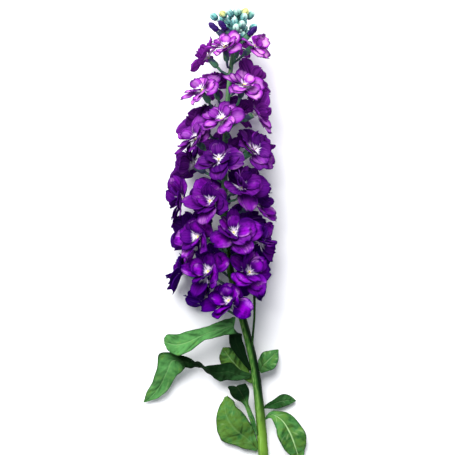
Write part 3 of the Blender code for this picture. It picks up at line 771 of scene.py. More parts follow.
def stem_finish(look):
    """The stem: pale streaks and ridges at its cut end and darker towards the florets, with painted
    shade on the side that is turned away from the light, strongest along the bare part, and its pale
    streaks shown only on the lit side as a painted highlight."""
    finish = Finish("stem_green", Specular_IOR_Level=0.04)
    x, y, z = finish.parts(finish.place)
    [aside] = finish.attributes("aside")
    streaks = finish.noise(finish.vector(x * 1100.0, y * 11.0, z * 1100.0))
    blotches = finish.noise(finish.place, scale=55.0)
    finish.coat(look.green)
    finish.coat(look.low, y.band(*LOW_STEM))
    finish.coat(look.shaded, y.band(*SPIKE_STEM))
    # Pale streaks shown only on the side toward the light: real streaks, painted as a highlight.
    finish.coat(look.pale, streaks.band(0.4, 0.7) * aside.band(0.5, -0.6) * 0.6)
    finish.coat(look.dark, blotches.band(0.5, 0.75) * 0.5)
    # Painted shade on the side turned away from the light, strongest along the bare part.
    painted_shade = (aside + (streaks - 0.5) * 0.3 + (blotches - 0.5) * 0.6).band(-0.45, 0.3)
    bare = y.band(*BARE_STEM_FROM) * y.band(*BARE_STEM_TO)
    finish.coat(look.dark, painted_shade * (0.3 + bare * 0.65))
    return finish.finished(0.45 + 0.2 * streaks, finish.bump(streaks, distance=0.3, strength=0.7))


def cut_finish(look):
    """The stem's cut face: pale pith with a greener rind."""
    finish = Finish("cut_face", Specular_IOR_Level=0.5)
    cells = finish.noise(finish.place, scale=1500.0)
    finish.coat(look.pith)
    finish.coat(look.green, cells.band(0.4, 0.8) * 0.6)
    return finish.finished(0.5 + 0.1 * cells, finish.bump(cells, distance=0.2))


def calyx_finish(look):
    """Sepals and stalks: grey green, felted, flushed with purple here and there."""
    finish = Finish("calyx_green", Specular_IOR_Level=0.15)
    streaks = finish.noise(finish.place, scale=420.0, detail=4.0)
    patches = finish.noise(finish.place, scale=120.0)
    finish.coat(look.calyx)
    finish.coat(look.pale, streaks.band(0.45, 0.75) * 0.4)
    finish.coat(look.flush, patches.band(0.42, 0.62) * 0.85)
    return finish.finished(0.55 + 0.2 * streaks, finish.bump(streaks, distance=0.25))


def green_bud_finish(look):
    """Closed buds: felted blue green with deeper blotches, navy painted shade in the seams and over the
    feet, and pale or yellow tips."""
    finish = Finish("green_bud", Specular_IOR_Level=0.15)
    _, along_it = finish.blade_place()
    tone, seam = finish.attributes("tone", "seam")
    felt = finish.noise(finish.place, scale=900.0, detail=4.0)
    patches = finish.noise(finish.place, scale=260.0, roughness=0.6)
    streaks = finish.noise(finish.vector(seam * 2.0, along_it * 5.0, tone * 30.0))
    finish.coat(look.bud)
    finish.coat(look.pale, tone.band(0.35, 0.7) * 0.45)
    finish.coat(look.bud_deep, patches.band(0.46, 0.66) * 0.85)
    tip = finish.mix(look.bud_light, look.bud_yellow, tone.band(0.85, 0.95))
    reach = along_it + tone * 0.4 + (felt - 0.5) * 0.4 + (streaks - 0.5) * 0.5
    finish.coat(tip, reach.band(0.7, 1.15))
    # Painted shade in the seams and over the feet of the buds.
    finish.coat(look.bud_painted_shade, seam * streaks.band(0.36, 0.56) * 0.85)
    finish.coat(look.bud_painted_shade, (along_it + (patches - 0.5) * 0.6).band(0.5, 0.1) * 0.8)
    return finish.finished(0.6 + 0.15 * felt, finish.bump(felt - seam, distance=0.4, strength=0.6))


def rolled_bud_finish(look, petals):
    """Rolled corollas: deep violet, streaked along the roll."""
    finish = Finish("rolled_bud", Specular_IOR_Level=0.2)
    across, along_it = finish.blade_place()
    streaks = finish.noise(finish.vector(across * 9.0 + along_it * 3.0, along_it * 1.5, 0.0))
    finish.coat(look.rolled)
    finish.coat(petals.dark, streaks.band(0.42, 0.7) * 0.8)
    finish.coat(petals.light, streaks.band(0.42, 0.25) * 0.4)
    return finish.finished(0.45 + 0.2 * streaks, finish.bump(streaks, distance=0.4))


def leaf_finish(name, look, lit_colour):
    """One side of the leaves: blotched green with yellower patches, darker along the edge, with painted
    shade in the folds and along the parts of each leaf that are set dark, and with a midrib and fine
    veins that hardly show."""
    finish = Finish(name, Specular_IOR_Level=0.02)
    across, along_it = finish.blade_place()
    bright, yellow, rib, shade = finish.attributes("bright", "yellow", "rib", "shade")
    off = abs(across)
    cells = finish.noise(finish.place, scale=420.0, detail=4.0)
    patches = finish.noise(finish.place, scale=85.0, detail=4.0, roughness=0.6)
    blotches = finish.noise(finish.place, scale=170.0, roughness=0.6)
    folds = finish.noise(finish.vector(along_it * 11.0 - off * 1.5, off * 0.8, yellow * 30.0))
    finish.coat(look.green)
    finish.coat(lit_colour, (patches + bright * 0.5).band(0.42, 0.95))
    finish.coat(look.yellow, (blotches + yellow * 0.35).band(0.55, 0.9) * 0.8)
    # Painted shade in the folds.
    finish.coat(look.dark, folds.band(0.52, 0.72) * 0.65)
    finish.coat(look.rib, folds.band(0.42, 0.26) * 0.35)
    finish.coat(look.dark, off.band(0.88, 1.0) * 0.6)
    midrib = off.band(0.1, 0.02) * rib
    finish.coat(look.rib, midrib)
    # Painted shade over the parts of each leaf that its look sets dark.
    finish.coat(look.dark, (shade + (blotches - 0.5) * 0.7).band(0.1, 0.95) * 0.96)
    height = cells * 0.4 - folds * 1.6 - midrib + patches
    return finish.finished(0.5 + 0.2 * cells, finish.bump(height, distance=0.9, strength=0.7))


def floor_finish(look):
    """A plain pale floor with the faintest grain."""
    finish = Finish("floor", Specular_IOR_Level=0.2)
    grain = finish.noise(finish.place, scale=400.0, detail=2.0)
    finish.coat(look.floor)
    finish.coat(look.grain, grain * 0.3)
    return finish.finished(0.8 + 0.1 * grain)


def along(table, x):
    """The value at x in a table of (place, value) pairs, in straight steps."""
    places, values = zip(*table)
    return np.interp(x, places, values)


def through(points, share):
    """Points on the smooth curve through these points, where each share runs from 0 to 1."""
    points = np.asarray(points, float)
    spans = len(points) - 1
    place = np.clip(np.asarray(share, float), 0.0, 1.0) * spans
    first = np.minimum(place.astype(int), spans - 1)
    t = (place - first)[..., None]
    a, b, c, d = (points[np.clip(first + k, 0, spans)] for k in (-1, 0, 1, 2))
    return 0.5 * (2 * b + (c - a) * t + (2 * a - 5 * b + 4 * c - d) * t**2 + (3 * b - a - 3 * c + d) * t**3)


STEM_LINE = through(STEM_ROUTE, np.linspace(0.0, 1.0, STEM_LINE_POINTS))


def stem_point(y):
    """The stem's centre at this place along Y."""
    return np.stack([np.interp(y, STEM_LINE[:, 1], STEM_LINE[:, axis]) for axis in range(3)], axis=-1)


def off_the_stem(points):
    """How far each point stands from the stem's middle."""
    return np.linalg.norm((points - stem_point(points[..., 1]))[..., ::2], axis=-1)


def outward(turn):
    """The direction away from the stem at this turn round it."""
    angle = np.radians(turn)
    return np.stack([np.sin(angle), np.zeros_like(angle), np.cos(angle)], axis=-1)


def unit(vectors):
    """The vectors, made one unit long."""
    return vectors / np.linalg.norm(vectors, axis=-1, keepdims=True)


def eased(depth, least, soft):
    """A depth that never falls below the least, and changes smoothly from soft down."""
    span = soft - least
    pressed = least + span * np.exp(np.clip((depth - soft) / span, -40.0, 0.0))
    return np.where(depth >= soft, depth, pressed)


def evened_spots():
    """The florets' places along Y, turns and reaches, evened out round the stem."""
    first_y, first_turn, reach = np.array(SEEN_FLORETS + OTHER_FLORETS).T
    counts = (len(SEEN_FLORETS), len(OTHER_FLORETS))
    hold = np.repeat((SEEN_HOLD, OTHER_HOLD), counts)
    pace = np.repeat((SEEN_PACE, OTHER_PACE), counts)
    y, turn, out = first_y.copy(), first_turn.copy(), reach + DISH_LIFT
    for _ in range(EVENING_STEPS):
        dishes = stem_point(y) + outward(turn) * out[:, None]
        spacing = np.where(y < SPACING_CHANGES_AT, SPACING_LOW, SPACING_TOP)
        gaps = dishes[:, None] - dishes[None]
        apart = np.linalg.norm(gaps, axis=2)
        np.fill_diagonal(apart, np.inf)
        near = np.clip(spacing[:, None] - apart, 0.0, None) / apart * PUSH
        push = (gaps * near[..., None]).sum(axis=1)
        along_y = hold * (first_y - y) + push[:, 1]
        turned = hold * np.radians(first_turn - turn) * out + (push * outward(turn + 90.0)).sum(axis=1)
        y = np.clip(y + np.clip(along_y, -LONGEST_STEP, LONGEST_STEP) * pace, FLORETS_FROM, FLORETS_TO)
        turn = turn + np.degrees(turned / out) * pace
        turn = np.where(y < LOW_END_BELOW, np.clip(turn, -LOW_END_TURN, LOW_END_TURN), turn)
    return zip(y, turn, reach)


class Floret:
    """Where a floret stands, which way it faces, and how big it is."""

    def __init__(self, number, y, turn, reach):
        self.number = number
        self.y = y
        draw = random.Random(FLORET_SEED + number)
        self.height = (y - FLORETS_FROM) / (FLORETS_TO - FLORETS_FROM)
        lean = LEAN_LOW + (LEAN_TOP - LEAN_LOW) * self.height + draw.uniform(-LEAN_VARIES, LEAN_VARIES)
        lean = math.radians(lean)
        facing = outward(turn + draw.uniform(-SWAY, SWAY))
        self.face = facing * math.cos(lean) + UP_THE_SPIKE * math.sin(lean)
        self.throat = stem_point(y) + outward(turn) * reach
        self.dish = self.throat + self.face * DISH_LIFT
        self.radius = FLORET_RADIUS_LOW + (FLORET_RADIUS_TOP - FLORET_RADIUS_LOW) * self.height**2
        self.radius *= draw.uniform(1.0 - RADIUS_VARIES, 1.0 + RADIUS_VARIES)
        self.right = unit(np.cross(UP_THE_SPIKE, self.face))
        self.top = np.cross(self.face, self.right)

    def meet(self, others):
        """Sets the walls: beside and below the lowest petals, beside each purple bud, and halfway to
        each near floret. Only the last of these give way when the petals are drawn."""
        walls = [(np.array(middle), unit(np.array(way))) for middle, way in LOW_WALLS]
        for row in PURPLE_BUDS:
            end, way = bud_seat(*row)
            middle = end + way * PURPLE_BUD_LENGTH / 2
            gap = unit(middle - self.dish)
            walls.append((middle - gap * BUD_ROOM, gap))
        near = sorted((o for o in others if o is not self), key=lambda o: np.linalg.norm(o.dish - self.dish))
        self.firm_walls = len(walls)
        for other in near[:NEIGHBOURS]:
            gap = other.dish - self.dish
            walls.append((self.dish + gap / 2, unit(gap)))
        self.middles, self.ways = (np.array(column) for column in zip(*walls))

    def inside(self, points):
        """Whether each point is clear of every neighbour, of the floor and of the spike's right edge."""
        edge, right = (np.array(value) for value in RIGHT_EDGE)
        depth = ((points[..., None, :] - self.middles) * self.ways).sum(axis=-1)
        clear = (depth < -ROOM).all(axis=-1) & ((points - edge) @ right < 0.0)
        return clear & (points[..., 2] > FLOOR_ROOM)

    def kept(self, points, overlap):
        """The points, eased back from the neighbours and from the surface."""
        for _ in range(EASING_ROUNDS):
            for k, (middle, way) in enumerate(zip(self.middles, self.ways)):
                depth = -((points - middle) @ way) + (overlap if k >= self.firm_walls else 0.0)
                points = points + way * (depth - eased(depth, ROOM, SOFT_ROOM))[..., None]
        points[..., 2] = eased(points[..., 2], FLOOR_ROOM, FLOOR_SOFT)
        return points


class Petal:
    """One petal: a curve that rises from the throat and opens outwards."""

    def __init__(self, floret, turn, layer, outer, draw):
        self.floret, self.turn, self.layer = floret, turn, layer
        under = [o.pitch for o in outer if math.cos(math.radians(o.turn - turn)) > NEARLY_BESIDE]
        least = max(under) + layer.above if under else 0.0
        angle = math.radians(turn)
        self.out = floret.right * math.cos(angle) + floret.top * math.sin(angle)
        self.across = np.cross(floret.face, self.out)
        self.half_width = floret.radius * layer.half_width
        self.curl = draw.uniform(*CURLS)
        self.cup = draw.uniform(*CUPS)
        self.wave = draw.uniform(0.0, 2.0 * math.pi)
        full = floret.radius * layer.length * draw.uniform(*LENGTH_FACTORS)
        pitch, share = (np.array(column)[:, None] for column in zip(*itertools.product(PITCHES, SHARES)))
        spread = share * (WIDE_AT_LEAST + np.cos(np.radians(pitch)))
        self.set(np.minimum(np.maximum(pitch + layer.rise, least), STEEPEST), full * share)
        probe_t, probe_v = (np.array(column) for column in zip(*PROBES))
        clear = floret.inside(self.bare(probe_t, probe_v)).all(axis=1)
        spread = np.where(clear, spread[:, 0], 0.0)
        best = int(spread.argmax())
        self.spread = spread[best]
        if self.spread > 0.0:
            self.set(self.pitch[best, 0], self.length[best, 0])
        else:
            self.set(STEEPEST, full * SHARES[-1])

    def set(self, pitch, length):
        self.pitch, self.length = pitch, length
        self.twist = np.radians(PETAL_TWIST + TWIST_BY_PITCH * pitch) * self.layer.turned

    def placed(self, t, width, lift):
        """Points at t along the petal's curve, this far to its side and this far off its face."""
        out, face, across = self.out, self.floret.face, self.across
        r, z = self.layer.root
        for k in range(PETAL_STEPS):
            s = (k + 0.5) / PETAL_STEPS * t
            angle = self.pitch + (self.layer.first - self.pitch) * np.maximum(0.0, 1.0 - s / CLAW)
            angle = np.radians(angle - self.curl * s * s * (1.0 - self.pitch / UNCURLED_AT))
            r = r + np.cos(angle) * self.length * t / PETAL_STEPS
            z = z + np.sin(angle) * self.length * t / PETAL_STEPS
        normal = np.multiply.outer(np.cos(angle), face) - np.multiply.outer(np.sin(angle), out)
        flat = np.broadcast_to(np.cos(self.twist), angle.shape)
        side = np.multiply.outer(flat, across) + normal * np.sin(self.twist)[..., None]
        centre = self.floret.throat + np.multiply.outer(r, out) + np.multiply.outer(z, face)
        return centre + side * width[..., None] + normal * lift[..., None]

    def wave_at(self, t, v):
        """How far the petal's slow wave lifts it here."""
        return WAVE_HEIGHT * self.length * t * t * np.sin(self.wave + WAVE_ACROSS * v)

    def bare(self, t, v):
        """The solid petal's shape: t runs along it and v, from -1 to 1, across it."""
        t, v, _ = np.broadcast_arrays(t, v, self.pitch)
        width = self.half_width * along(WIDTHS, t)
        return self.placed(t, width * v, self.cup * width * v * v + self.wave_at(t, v))

    def fine(self, t, v, look, draw):
        """The petal as it is drawn: a narrow claw, a round blade with a shallow notch, a soft crease
        along the middle and a waved edge."""
        ruffles, scallops = draw.uniform(*RUFFLES), draw.uniform(*SCALLOPS)
        scallops_from, ruffles_from = draw.uniform(*ANY_PHASE), draw.uniform(*ANY_PHASE)
        round_blade = np.arctan2(v * BLADE_ASPECT, t - BLADE_MIDDLE)
        # The rim is 1 along the blade's edge, and fades out towards its middle and along the claw.
        rim = np.clip(np.maximum(np.abs(v), 2.0 * t - 1.0), 0.0, 1.0) ** 3
        rim = rim * np.clip(3.0 * t - 0.6, 0.0, 1.0)
        scallop = np.sin(scallops * round_blade + scallops_from)
        ruffle = (1.0 - SCALLOP_SHARE) * np.sin(ruffles * round_blade + ruffles_from)
        ruffle = look.ruffle / MM * rim * (ruffle + SCALLOP_SHARE * scallop)
        notch = look.notch * np.exp(-((v / NOTCH_WIDTH) ** 2)) * t**6
        reach = t - TIP_ROUNDING * t * t * v * v - notch + SCALLOP_DEPTH * rim * scallop
        blade = np.clip((t - CLAW_END) / (1.0 - CLAW_END), 0.0, 1.0) ** BLADE_PEAK
        blade = np.sin(np.pi * blade * BLADE_END) ** BLADE_FULLNESS
        width = self.half_width * (CLAW_WIDTH + (1.0 - CLAW_WIDTH) * blade)
        crease = -CREASE * self.length * np.exp(-((v / CREASE_WIDTH) ** 2)) * t * (1.0 - t)
        lift = self.cup * width * v * v + self.wave_at(t, v) + ruffle + crease
        grown = copy.copy(self)
        grown.length = self.length * look.growth
        return self.floret.kept(grown.placed(reach, width * v, lift), look.overlap / MM)


def petals_of(floret):
    """A floret's petals, outer layer first, turned to fill its room, then those that fill between."""
    best = -1.0
    for start in STARTS:
        draw = random.Random(PETAL_SEED + floret.number)
        tried = []
        for k, layer in enumerate(LAYERS):
            tried += ring_of_petals(floret, layer, start + k * HALF_SIDE, TURN_VARIES, tried, draw)
        spread = sum(petal.spread for petal in tried)
        if spread > best:
            best, made, chosen = spread, tried, start
    draw = random.Random(FILLING_SEED + floret.number)
    outer = made[:LAYERS[0].count]
    made += ring_of_petals(floret, FILLING_LAYER, chosen + HALF_SIDE, FILLING_VARIES, outer, draw)
    return [petal for petal in made if petal.spread > 0.0]


def ring_of_petals(floret, layer, start, varies, outer, draw):
    """One layer of a floret's petals, evenly turned round its throat but for a random share."""
    made = []
    for k in range(layer.count):
        turn = start + 360.0 / layer.count * k + draw.uniform(-varies, varies)
        made.append(Petal(floret, turn, layer, outer, draw))
    return made


def bud_seat(y, turn, reach):
    """Where a bud stands and the way that it points."""
    way = unit(outward(turn) + np.array((0.0, BUD_LEAN, 0.0)))
    return stem_point(y) + outward(turn) * reach, way


@functools.cache
def all_florets():
    """Every floret, placed and aware of its neighbours."""
    made = [Floret(k + 1, *spot) for k, spot in enumerate(evened_spots())]
    for floret in made:
        floret.meet(made)
    return made


def select_only(*objects):
    """Selects these objects and no others, and makes the first of them the active one."""
    for obj in bpy.context.selected_objects:
        obj.select_set(False)
    for obj in objects:
        obj.select_set(True)
    bpy.context.view_layer.objects.active = objects[0] if objects else None


def tube_sheet(centres, sides):
    """A sheet to roll round this many centres."""
    return sheet(centres + 1, sides)


def sheet(rows, columns):
    """A flat square sheet, from -1 to 1, with this many faces along and across it."""
    select_only()
    bpy.ops.mesh.primitive_grid_add(x_subdivisions=columns, y_subdivisions=rows, size=2.0)
    made = bpy.context.object
    bpy.context.collection.objects.unlink(made)
    return made


def points_of(obj):
    """The points of a mesh, one row for each."""
    flat = np.empty(len(obj.data.vertices) * 3)
    obj.data.vertices.foreach_get("co", flat)
    return flat.reshape(-1, 3)


def set_points(obj, points):
    """Moves the points of a mesh here."""
    obj.data.vertices.foreach_set("co", np.ascontiguousarray(points).ravel())
    obj.data.update()


def copied(template, name):
    """A copy of a template with its own mesh."""
    made = bpy.data.objects.new(name, template.data.copy())
    bpy.context.collection.objects.link(made)
    return made


def laid(template, name, surface):
    """A copy of a flat sheet laid on a surface, which gives the points in millimetres at t along it,
    from 0 to 1, and v across it, from 1 to -1."""
    made = copied(template, name)
    flat = points_of(made)
    set_points(made, surface((flat[:, 1] + 1.0) / 2.0, -flat[:, 0]))
    return made


def set_up(template, name, place, way, size=1.0, turn=0.0):
    """A copy of a template that was modelled upright at the origin, set up here along this way."""
    made = copied(template, name)
    side = unit(np.cross(way, ODD_WAY))
    other = np.cross(way, side)
    angle = math.radians(turn)
    first = side * math.cos(angle) + other * math.sin(angle)
    basis = np.array((first, np.cross(way, first), way))
    set_points(made, points_of(made) @ basis * size + place)
    return made


def give(obj, **values):
    """Stores numbers on a mesh, one for each point or one for them all, for its material to read."""
    for name, value in values.items():
        layer = obj.data.attributes.new(name, "FLOAT", "POINT")
        layer.data.foreach_set("value", np.broadcast_to(np.float32(value), len(obj.data.vertices)).copy())
    return obj


def joined(name, parts):
    """The parts as one object."""
    select_only(*parts)
    bpy.ops.object.join()
    parts[0].name = parts[0].data.name = name
    return parts[0]


def closed(obj):
    """Merges the seam and the poles of a rolled sheet, and turns its faces outwards."""
    select_only(obj)
    bpy.ops.object.mode_set(mode="EDIT")
    bpy.ops.mesh.select_all(action="SELECT")
    bpy.ops.mesh.remove_doubles(threshold=MERGED_WITHIN)
    bpy.ops.mesh.normals_make_consistent(inside=False)
    bpy.ops.object.mode_set(mode="OBJECT")
    return obj


def handed_over(obj, finishes, nodes=(), smooth_below=60.0, thickness=None):
    """Puts a piece that was shaped in millimetres in the frame: its place in metres, its materials,
    shading and body. A blade gets its thickness, with the second material on its back."""
    set_points(obj, (points_of(obj) + SHIFT) * MM)
    for finish in finishes:
        obj.data.materials.append(finish)
    select_only(obj)
    if thickness:
        solid = obj.modifiers.new("Thickness", "SOLIDIFY")
        solid.thickness, solid.offset, solid.material_offset = thickness, 0.0, 1
        bpy.ops.object.modifier_apply(modifier=solid.name)
    bpy.ops.object.shade_smooth_by_angle(angle=math.radians(smooth_below))
    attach(obj, "root")
    if nodes:
        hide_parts(*nodes)


def rolled(template, name, centres, radii):
    """A closed tube round these centres. The template has a row of points for each centre and one at
    each end, and radii gives a radius for each centre, or for each centre and angle."""
    made = copied(template, name)
    flat = points_of(made)
    last = len(centres) - 1
    row = np.rint((flat[:, 1] + 1.0) / 2.0 * (last + 2)).astype(int) - 1
    inner = np.clip(row, 0, last)
    angle = np.pi * flat[:, 0]
    ways = unit(np.gradient(centres, axis=0))
    side = unit(np.cross(ways[0], ODD_WAY))
    sides = []
    for way in ways:
        side = unit(side - way * side.dot(way))
        sides.append(side)
    sides = np.array(sides)
    others = np.cross(ways, sides)
    radius = radii(inner / last, angle) * np.where(inner == row, 1.0, 0.0)
    ring = sides[inner] * np.cos(angle)[:, None] + others[inner] * np.sin(angle)[:, None]
    set_points(made, centres[inner] + ring * radius[:, None])
    return closed(made)


def make_stem(look):
    """The stem: a ridged tube, a little swollen where each leaf leaves it, with the one bare stalk."""
    shares = np.linspace(0.0, 1.0, STEM_RINGS)
    centres = through(STEM_ROUTE, shares)
    leaf_feet = np.array([rows[0][0][1] for rows in LEAVES.values()])

    def radii(share, angle):
        y = np.interp(share, shares, centres[:, 1])
        near = np.exp(-(((y[:, None] - leaf_feet) / SWELLING_LENGTH) ** 2)).sum(axis=1)
        ridges = np.cos(BROAD_RIDGES * angle + RIDGE_TURNS * share)
        ridges = 1.0 + look.ridge * (ridges + FINE_RIDGE_SHARE * np.cos(FINE_RIDGES * angle))
        return along(STEM_RADII, y) * (ridges + SWELLING * np.clip(near, 0.0, 1.0))

    tube = rolled(tube_sheet(STEM_RINGS, STEM_SIDES), "tube", centres, radii)
    points = points_of(tube)
    # How far each point stands towards the side turned away from the light, for the painted shade.
    aside = (points - stem_point(points[:, 1])) @ outward(SHADED_TURN) / along(STEM_RADII, points[:, 1])
    give(tube, aside=aside)
    top = np.array(BARE_STALK_END)
    bare = stalk(tube_sheet(STALK_POINTS, STALK_SIDES), "bare_stalk", BARE_STALK_FROM, top, UP_THE_SPIKE)
    give(bare, aside=BARE_STALK_SHADE)
    stem = joined("ridged_stem", [tube, bare])
    handed_over(stem, [stem_finish(look), cut_finish(look)], ["stem"], smooth_below=50.0)
    cut_at = (STEM_ROUTE[0][1] + SHIFT[1] + CUT_DEPTH) * MM
    for face in stem.data.polygons:
        face.material_index = 1 if face.center.y < cut_at else 0


def calyx_template(length, radius):
    """A calyx, upright at the origin with its rim at this length: four sepals round a hollow cup."""
    made = sheet(*CALYX_GRID)
    t, angle = wound_sheet(made)
    sepals = np.abs(np.cos(2.0 * angle)) ** SEPAL_ROUND
    outside = np.clip(t / CALYX_OUTSIDE, 0.0, 1.0)
    inside = np.clip((t - CALYX_OUTSIDE) / (1.0 - CALYX_OUTSIDE), 0.0, 1.0)
    z = length * (1.0 + SEPAL_TIP * sepals) * outside * (1.0 - CALYX_HOLLOW * inside)
    swell = along(CALYX_SWELL, outside) * (1.0 + SEPAL_SWELL * (sepals - 0.5))
    swell = swell - CALYX_WALL * (inside > 0.0)
    return turned_up(made, radius * swell, z)


def wound_sheet(made):
    """The place along a flat sheet, from 0 to 1, and the angle round what it is to be rolled into."""
    flat = points_of(made)
    return (flat[:, 1] + 1.0) / 2.0, np.pi * flat[:, 0]


def turned_up(made, radius, z):
    """Rolls a flat sheet into an upright closed template, with this radius and height at each point."""
    t, angle = wound_sheet(made)
    r = np.where((t <= 0.0) | (t >= 1.0), 0.0, radius)
    set_points(made, np.stack([r * np.cos(angle), r * np.sin(angle), z], axis=1))
    bpy.context.collection.objects.link(made)
    closed(made)
    bpy.context.collection.objects.unlink(made)
    return made


def stalk(template, name, start_y, foot, way):
    """A stalk that leaves the stem here along Y and curves up into the foot of a calyx or bud."""
    start = stem_point(start_y)
    bend = foot - way * np.linalg.norm(foot - start) * STALK_BEND
    halfway = start * 0.5 + bend * 0.5 + way * STALK_ARCH
    route = [start, halfway, bend, foot + way * STALK_SEAT]
    centres = through(route, np.linspace(0.0, 1.0, STALK_POINTS))
    return rolled(template, name, centres, lambda share, _: STALK_RADIUS * (1.0 + STALK_SWELLS * share**3))


def make_calyces(look):
    """Every stalk and calyx, of the florets and of the purple buds."""
    stalk_sheet = tube_sheet(STALK_POINTS, STALK_SIDES)
    big = calyx_template(CALYX_LENGTH, CALYX_RADIUS)
    small = calyx_template(BUD_CALYX_LENGTH, BUD_CALYX_RADIUS)
    parts = []
    for floret in all_florets():
        foot = floret.throat - floret.face * (SEAT_GAP + CALYX_LENGTH)
        parts.append(stalk(stalk_sheet, "stalk", floret.y - FLORET_DROP, foot, floret.face))
        parts.append(set_up(big, "calyx", foot, floret.face, turn=CALYX_TURN * floret.number))
    for row in PURPLE_BUDS:
        rim, way = bud_seat(*row)
        foot = rim - way * BUD_CALYX_LENGTH
        parts.append(stalk(stalk_sheet, "stalk", row[0] - PURPLE_BUD_DROP, foot, way))
        parts.append(set_up(small, "calyx", foot, way, turn=row[1]))
    handed_over(joined("stalks_and_calyces", parts), [calyx_finish(look)])


def green_bud_template():
    """A closed bud, upright at the origin and one unit long: four sepals that meet over the tip."""
    made = sheet(*GREEN_BUD_GRID)
    t, angle = wound_sheet(made)
    seam = np.exp(-((np.cos(2.0 * angle + BUD_SEAM_TWIST * t) / BUD_SEAM_WIDTH) ** 2))
    seam = seam * np.sin(np.pi * np.clip(t, 0.0, 1.0)) ** 0.5
    radius = along(GREEN_BUD_SWELL, t) * (1.0 - BUD_SEAM_DEPTH * seam) * GREEN_BUD_RADIUS / GREEN_BUD_LENGTH
    return turned_up(give(made, seam=seam), radius, t)


def make_green_buds(look):
    """The closed buds of the tip, with smaller ones tucked between them."""
    template = green_bud_template()
    stalk_sheet = tube_sheet(STALK_POINTS, STALK_SIDES)
    draw = random.Random(BUD_SEED)
    parts = []

    def add_bud(seat, way, sizes, yellow=False):
        size = GREEN_BUD_LENGTH * draw.uniform(*sizes)
        tone = 1.0 if yellow else draw.uniform(*BUD_TONES)
        parts.append(give(set_up(template, "bud", seat, way, size, draw.uniform(*BUD_TURNS)), tone=tone))

    for k, (y, turn, reach) in enumerate(GREEN_BUDS):
        foot, way = bud_seat(y, turn, reach)
        under = stalk(stalk_sheet, "stalk", y - GREEN_BUD_DROP, foot, way)
        parts.append(give(under, tone=BUD_STALK_TONE, seam=0.0))
        add_bud(foot, way, BUD_SIZES, k in YELLOW_BUDS)
        for _ in range(YOUNG_BUDS):
            young_turn = turn + draw.uniform(*YOUNG_TURNS)
            young_y = y + draw.uniform(*YOUNG_PLACES)
            add_bud(*bud_seat(young_y, young_turn, reach * draw.uniform(*YOUNG_REACHES)), YOUNG_SIZES)
    handed_over(joined("green_buds", parts), [green_bud_finish(look)])


def make_florets(look):
    """Every open floret: its petals joined, thickened and set in its throat."""
    petal_sheet = sheet(PETAL_ROWS, PETAL_COLUMNS)
    finishes = [petal_face_finish(look), petal_back_finish(look)]
    for floret in all_florets():
        draw = random.Random(RUFFLE_SEED + floret.number)
        parts = []
        for petal in petals_of(floret):
            part = laid(petal_sheet, "petal", lambda t, v: petal.fine(t, v, look, draw))
            # How far out each point stands against the floret's dish: the petals deep inside the spike get
            # painted shade.
            out = off_the_stem(points_of(part)) / off_the_stem(floret.dish)
            # The painted shade of the floret's tier.
            deep = along(PAINTED_SHADE_ALONG_Y, floret.y)
            parts.append(give(part, tone=draw.random(), height=floret.height, deep=deep, out=out))
        piece, node = joined(f"petals_{floret.number:02d}", parts), f"floret_{floret.number:02d}"
        handed_over(piece, finishes, [node], smooth_below=180.0, thickness=look.thickness)


def eye_template():
    """What stands in a throat, upright at the origin: a ring of stamens round a short stigma."""
    template = tube_sheet(EYE_POINTS, EYE_SIDES)
    parts = []

    def stamen_radii(share, _):
        top_half = np.clip((share - 0.5) * 2.0, 0.0, 1.0)
        return THREAD_RADIUS + SAC_RADIUS * (share > SAC_FROM) * np.sin(np.pi * top_half)

    for k in range(STAMENS):
        angle = 2.0 * math.pi * k / STAMENS
        x, y = STAMEN_RING * math.cos(angle), STAMEN_RING * math.sin(angle)
        tops = np.linspace(STAMEN_FOOT, STAMEN_TOPS[k % len(STAMEN_TOPS)], EYE_POINTS)
        stamen = rolled(template, "stamen", np.array([(x, y, z) for z in tops]), stamen_radii)
        parts.append(give(stamen, tone=1.0))
    centres = np.array([(0.0, 0.0, z) for z in np.linspace(STIGMA_FROM, STIGMA_TOP, EYE_POINTS)])
    stigma = rolled(template, "stigma", centres, lambda share, _: STIGMA_RADIUS - STIGMA_NARROWS * share)
    parts.append(give(stigma, tone=0.0))
    made = joined("eye", parts)
    bpy.context.collection.objects.unlink(made)
    return made


def make_eyes(look):
    """The stamens and stigma of every floret."""
    template = eye_template()
    parts = []
    for floret in all_florets():
        parts.append(set_up(template, "eye", floret.throat, floret.face, turn=EYE_TURN * floret.number))
    handed_over(joined("stamens", parts), [eye_finish(look)])


def rolled_bud_template():
    """A rolled corolla, upright at the origin: petals wound round each other, edge over edge."""
    made = sheet(*PURPLE_BUD_GRID)
    t, angle = wound_sheet(made)
    wound = np.mod((angle / (2.0 * np.pi) + WINDING * t) * WOUND_PETALS, 1.0)
    overlap = 1.0 - WIND_STEP * wound + WIND_EDGE * np.exp(-(((wound - 1.0) / WIND_EDGE_WIDTH) ** 2))
    radius = PURPLE_BUD_RADIUS * along(PURPLE_BUD_SWELL, t) * overlap
    return turned_up(made, radius, PURPLE_BUD_LENGTH * t)


def make_purple_buds(look, petals):
    """The rolled buds, each in its calyx."""
    template = rolled_bud_template()
    finish = rolled_bud_finish(look, petals)
    for k, row in enumerate(PURPLE_BUDS):
        end, way = bud_seat(*row)
        seat, turn = end + way * SEAT_GAP, PURPLE_BUD_TURN * k
        piece = set_up(template, f"rolled_bud_{k + 1}", seat, way, turn=turn)
        handed_over(piece, [finish], [f"purple_bud_{k + 1}"], smooth_below=70.0)


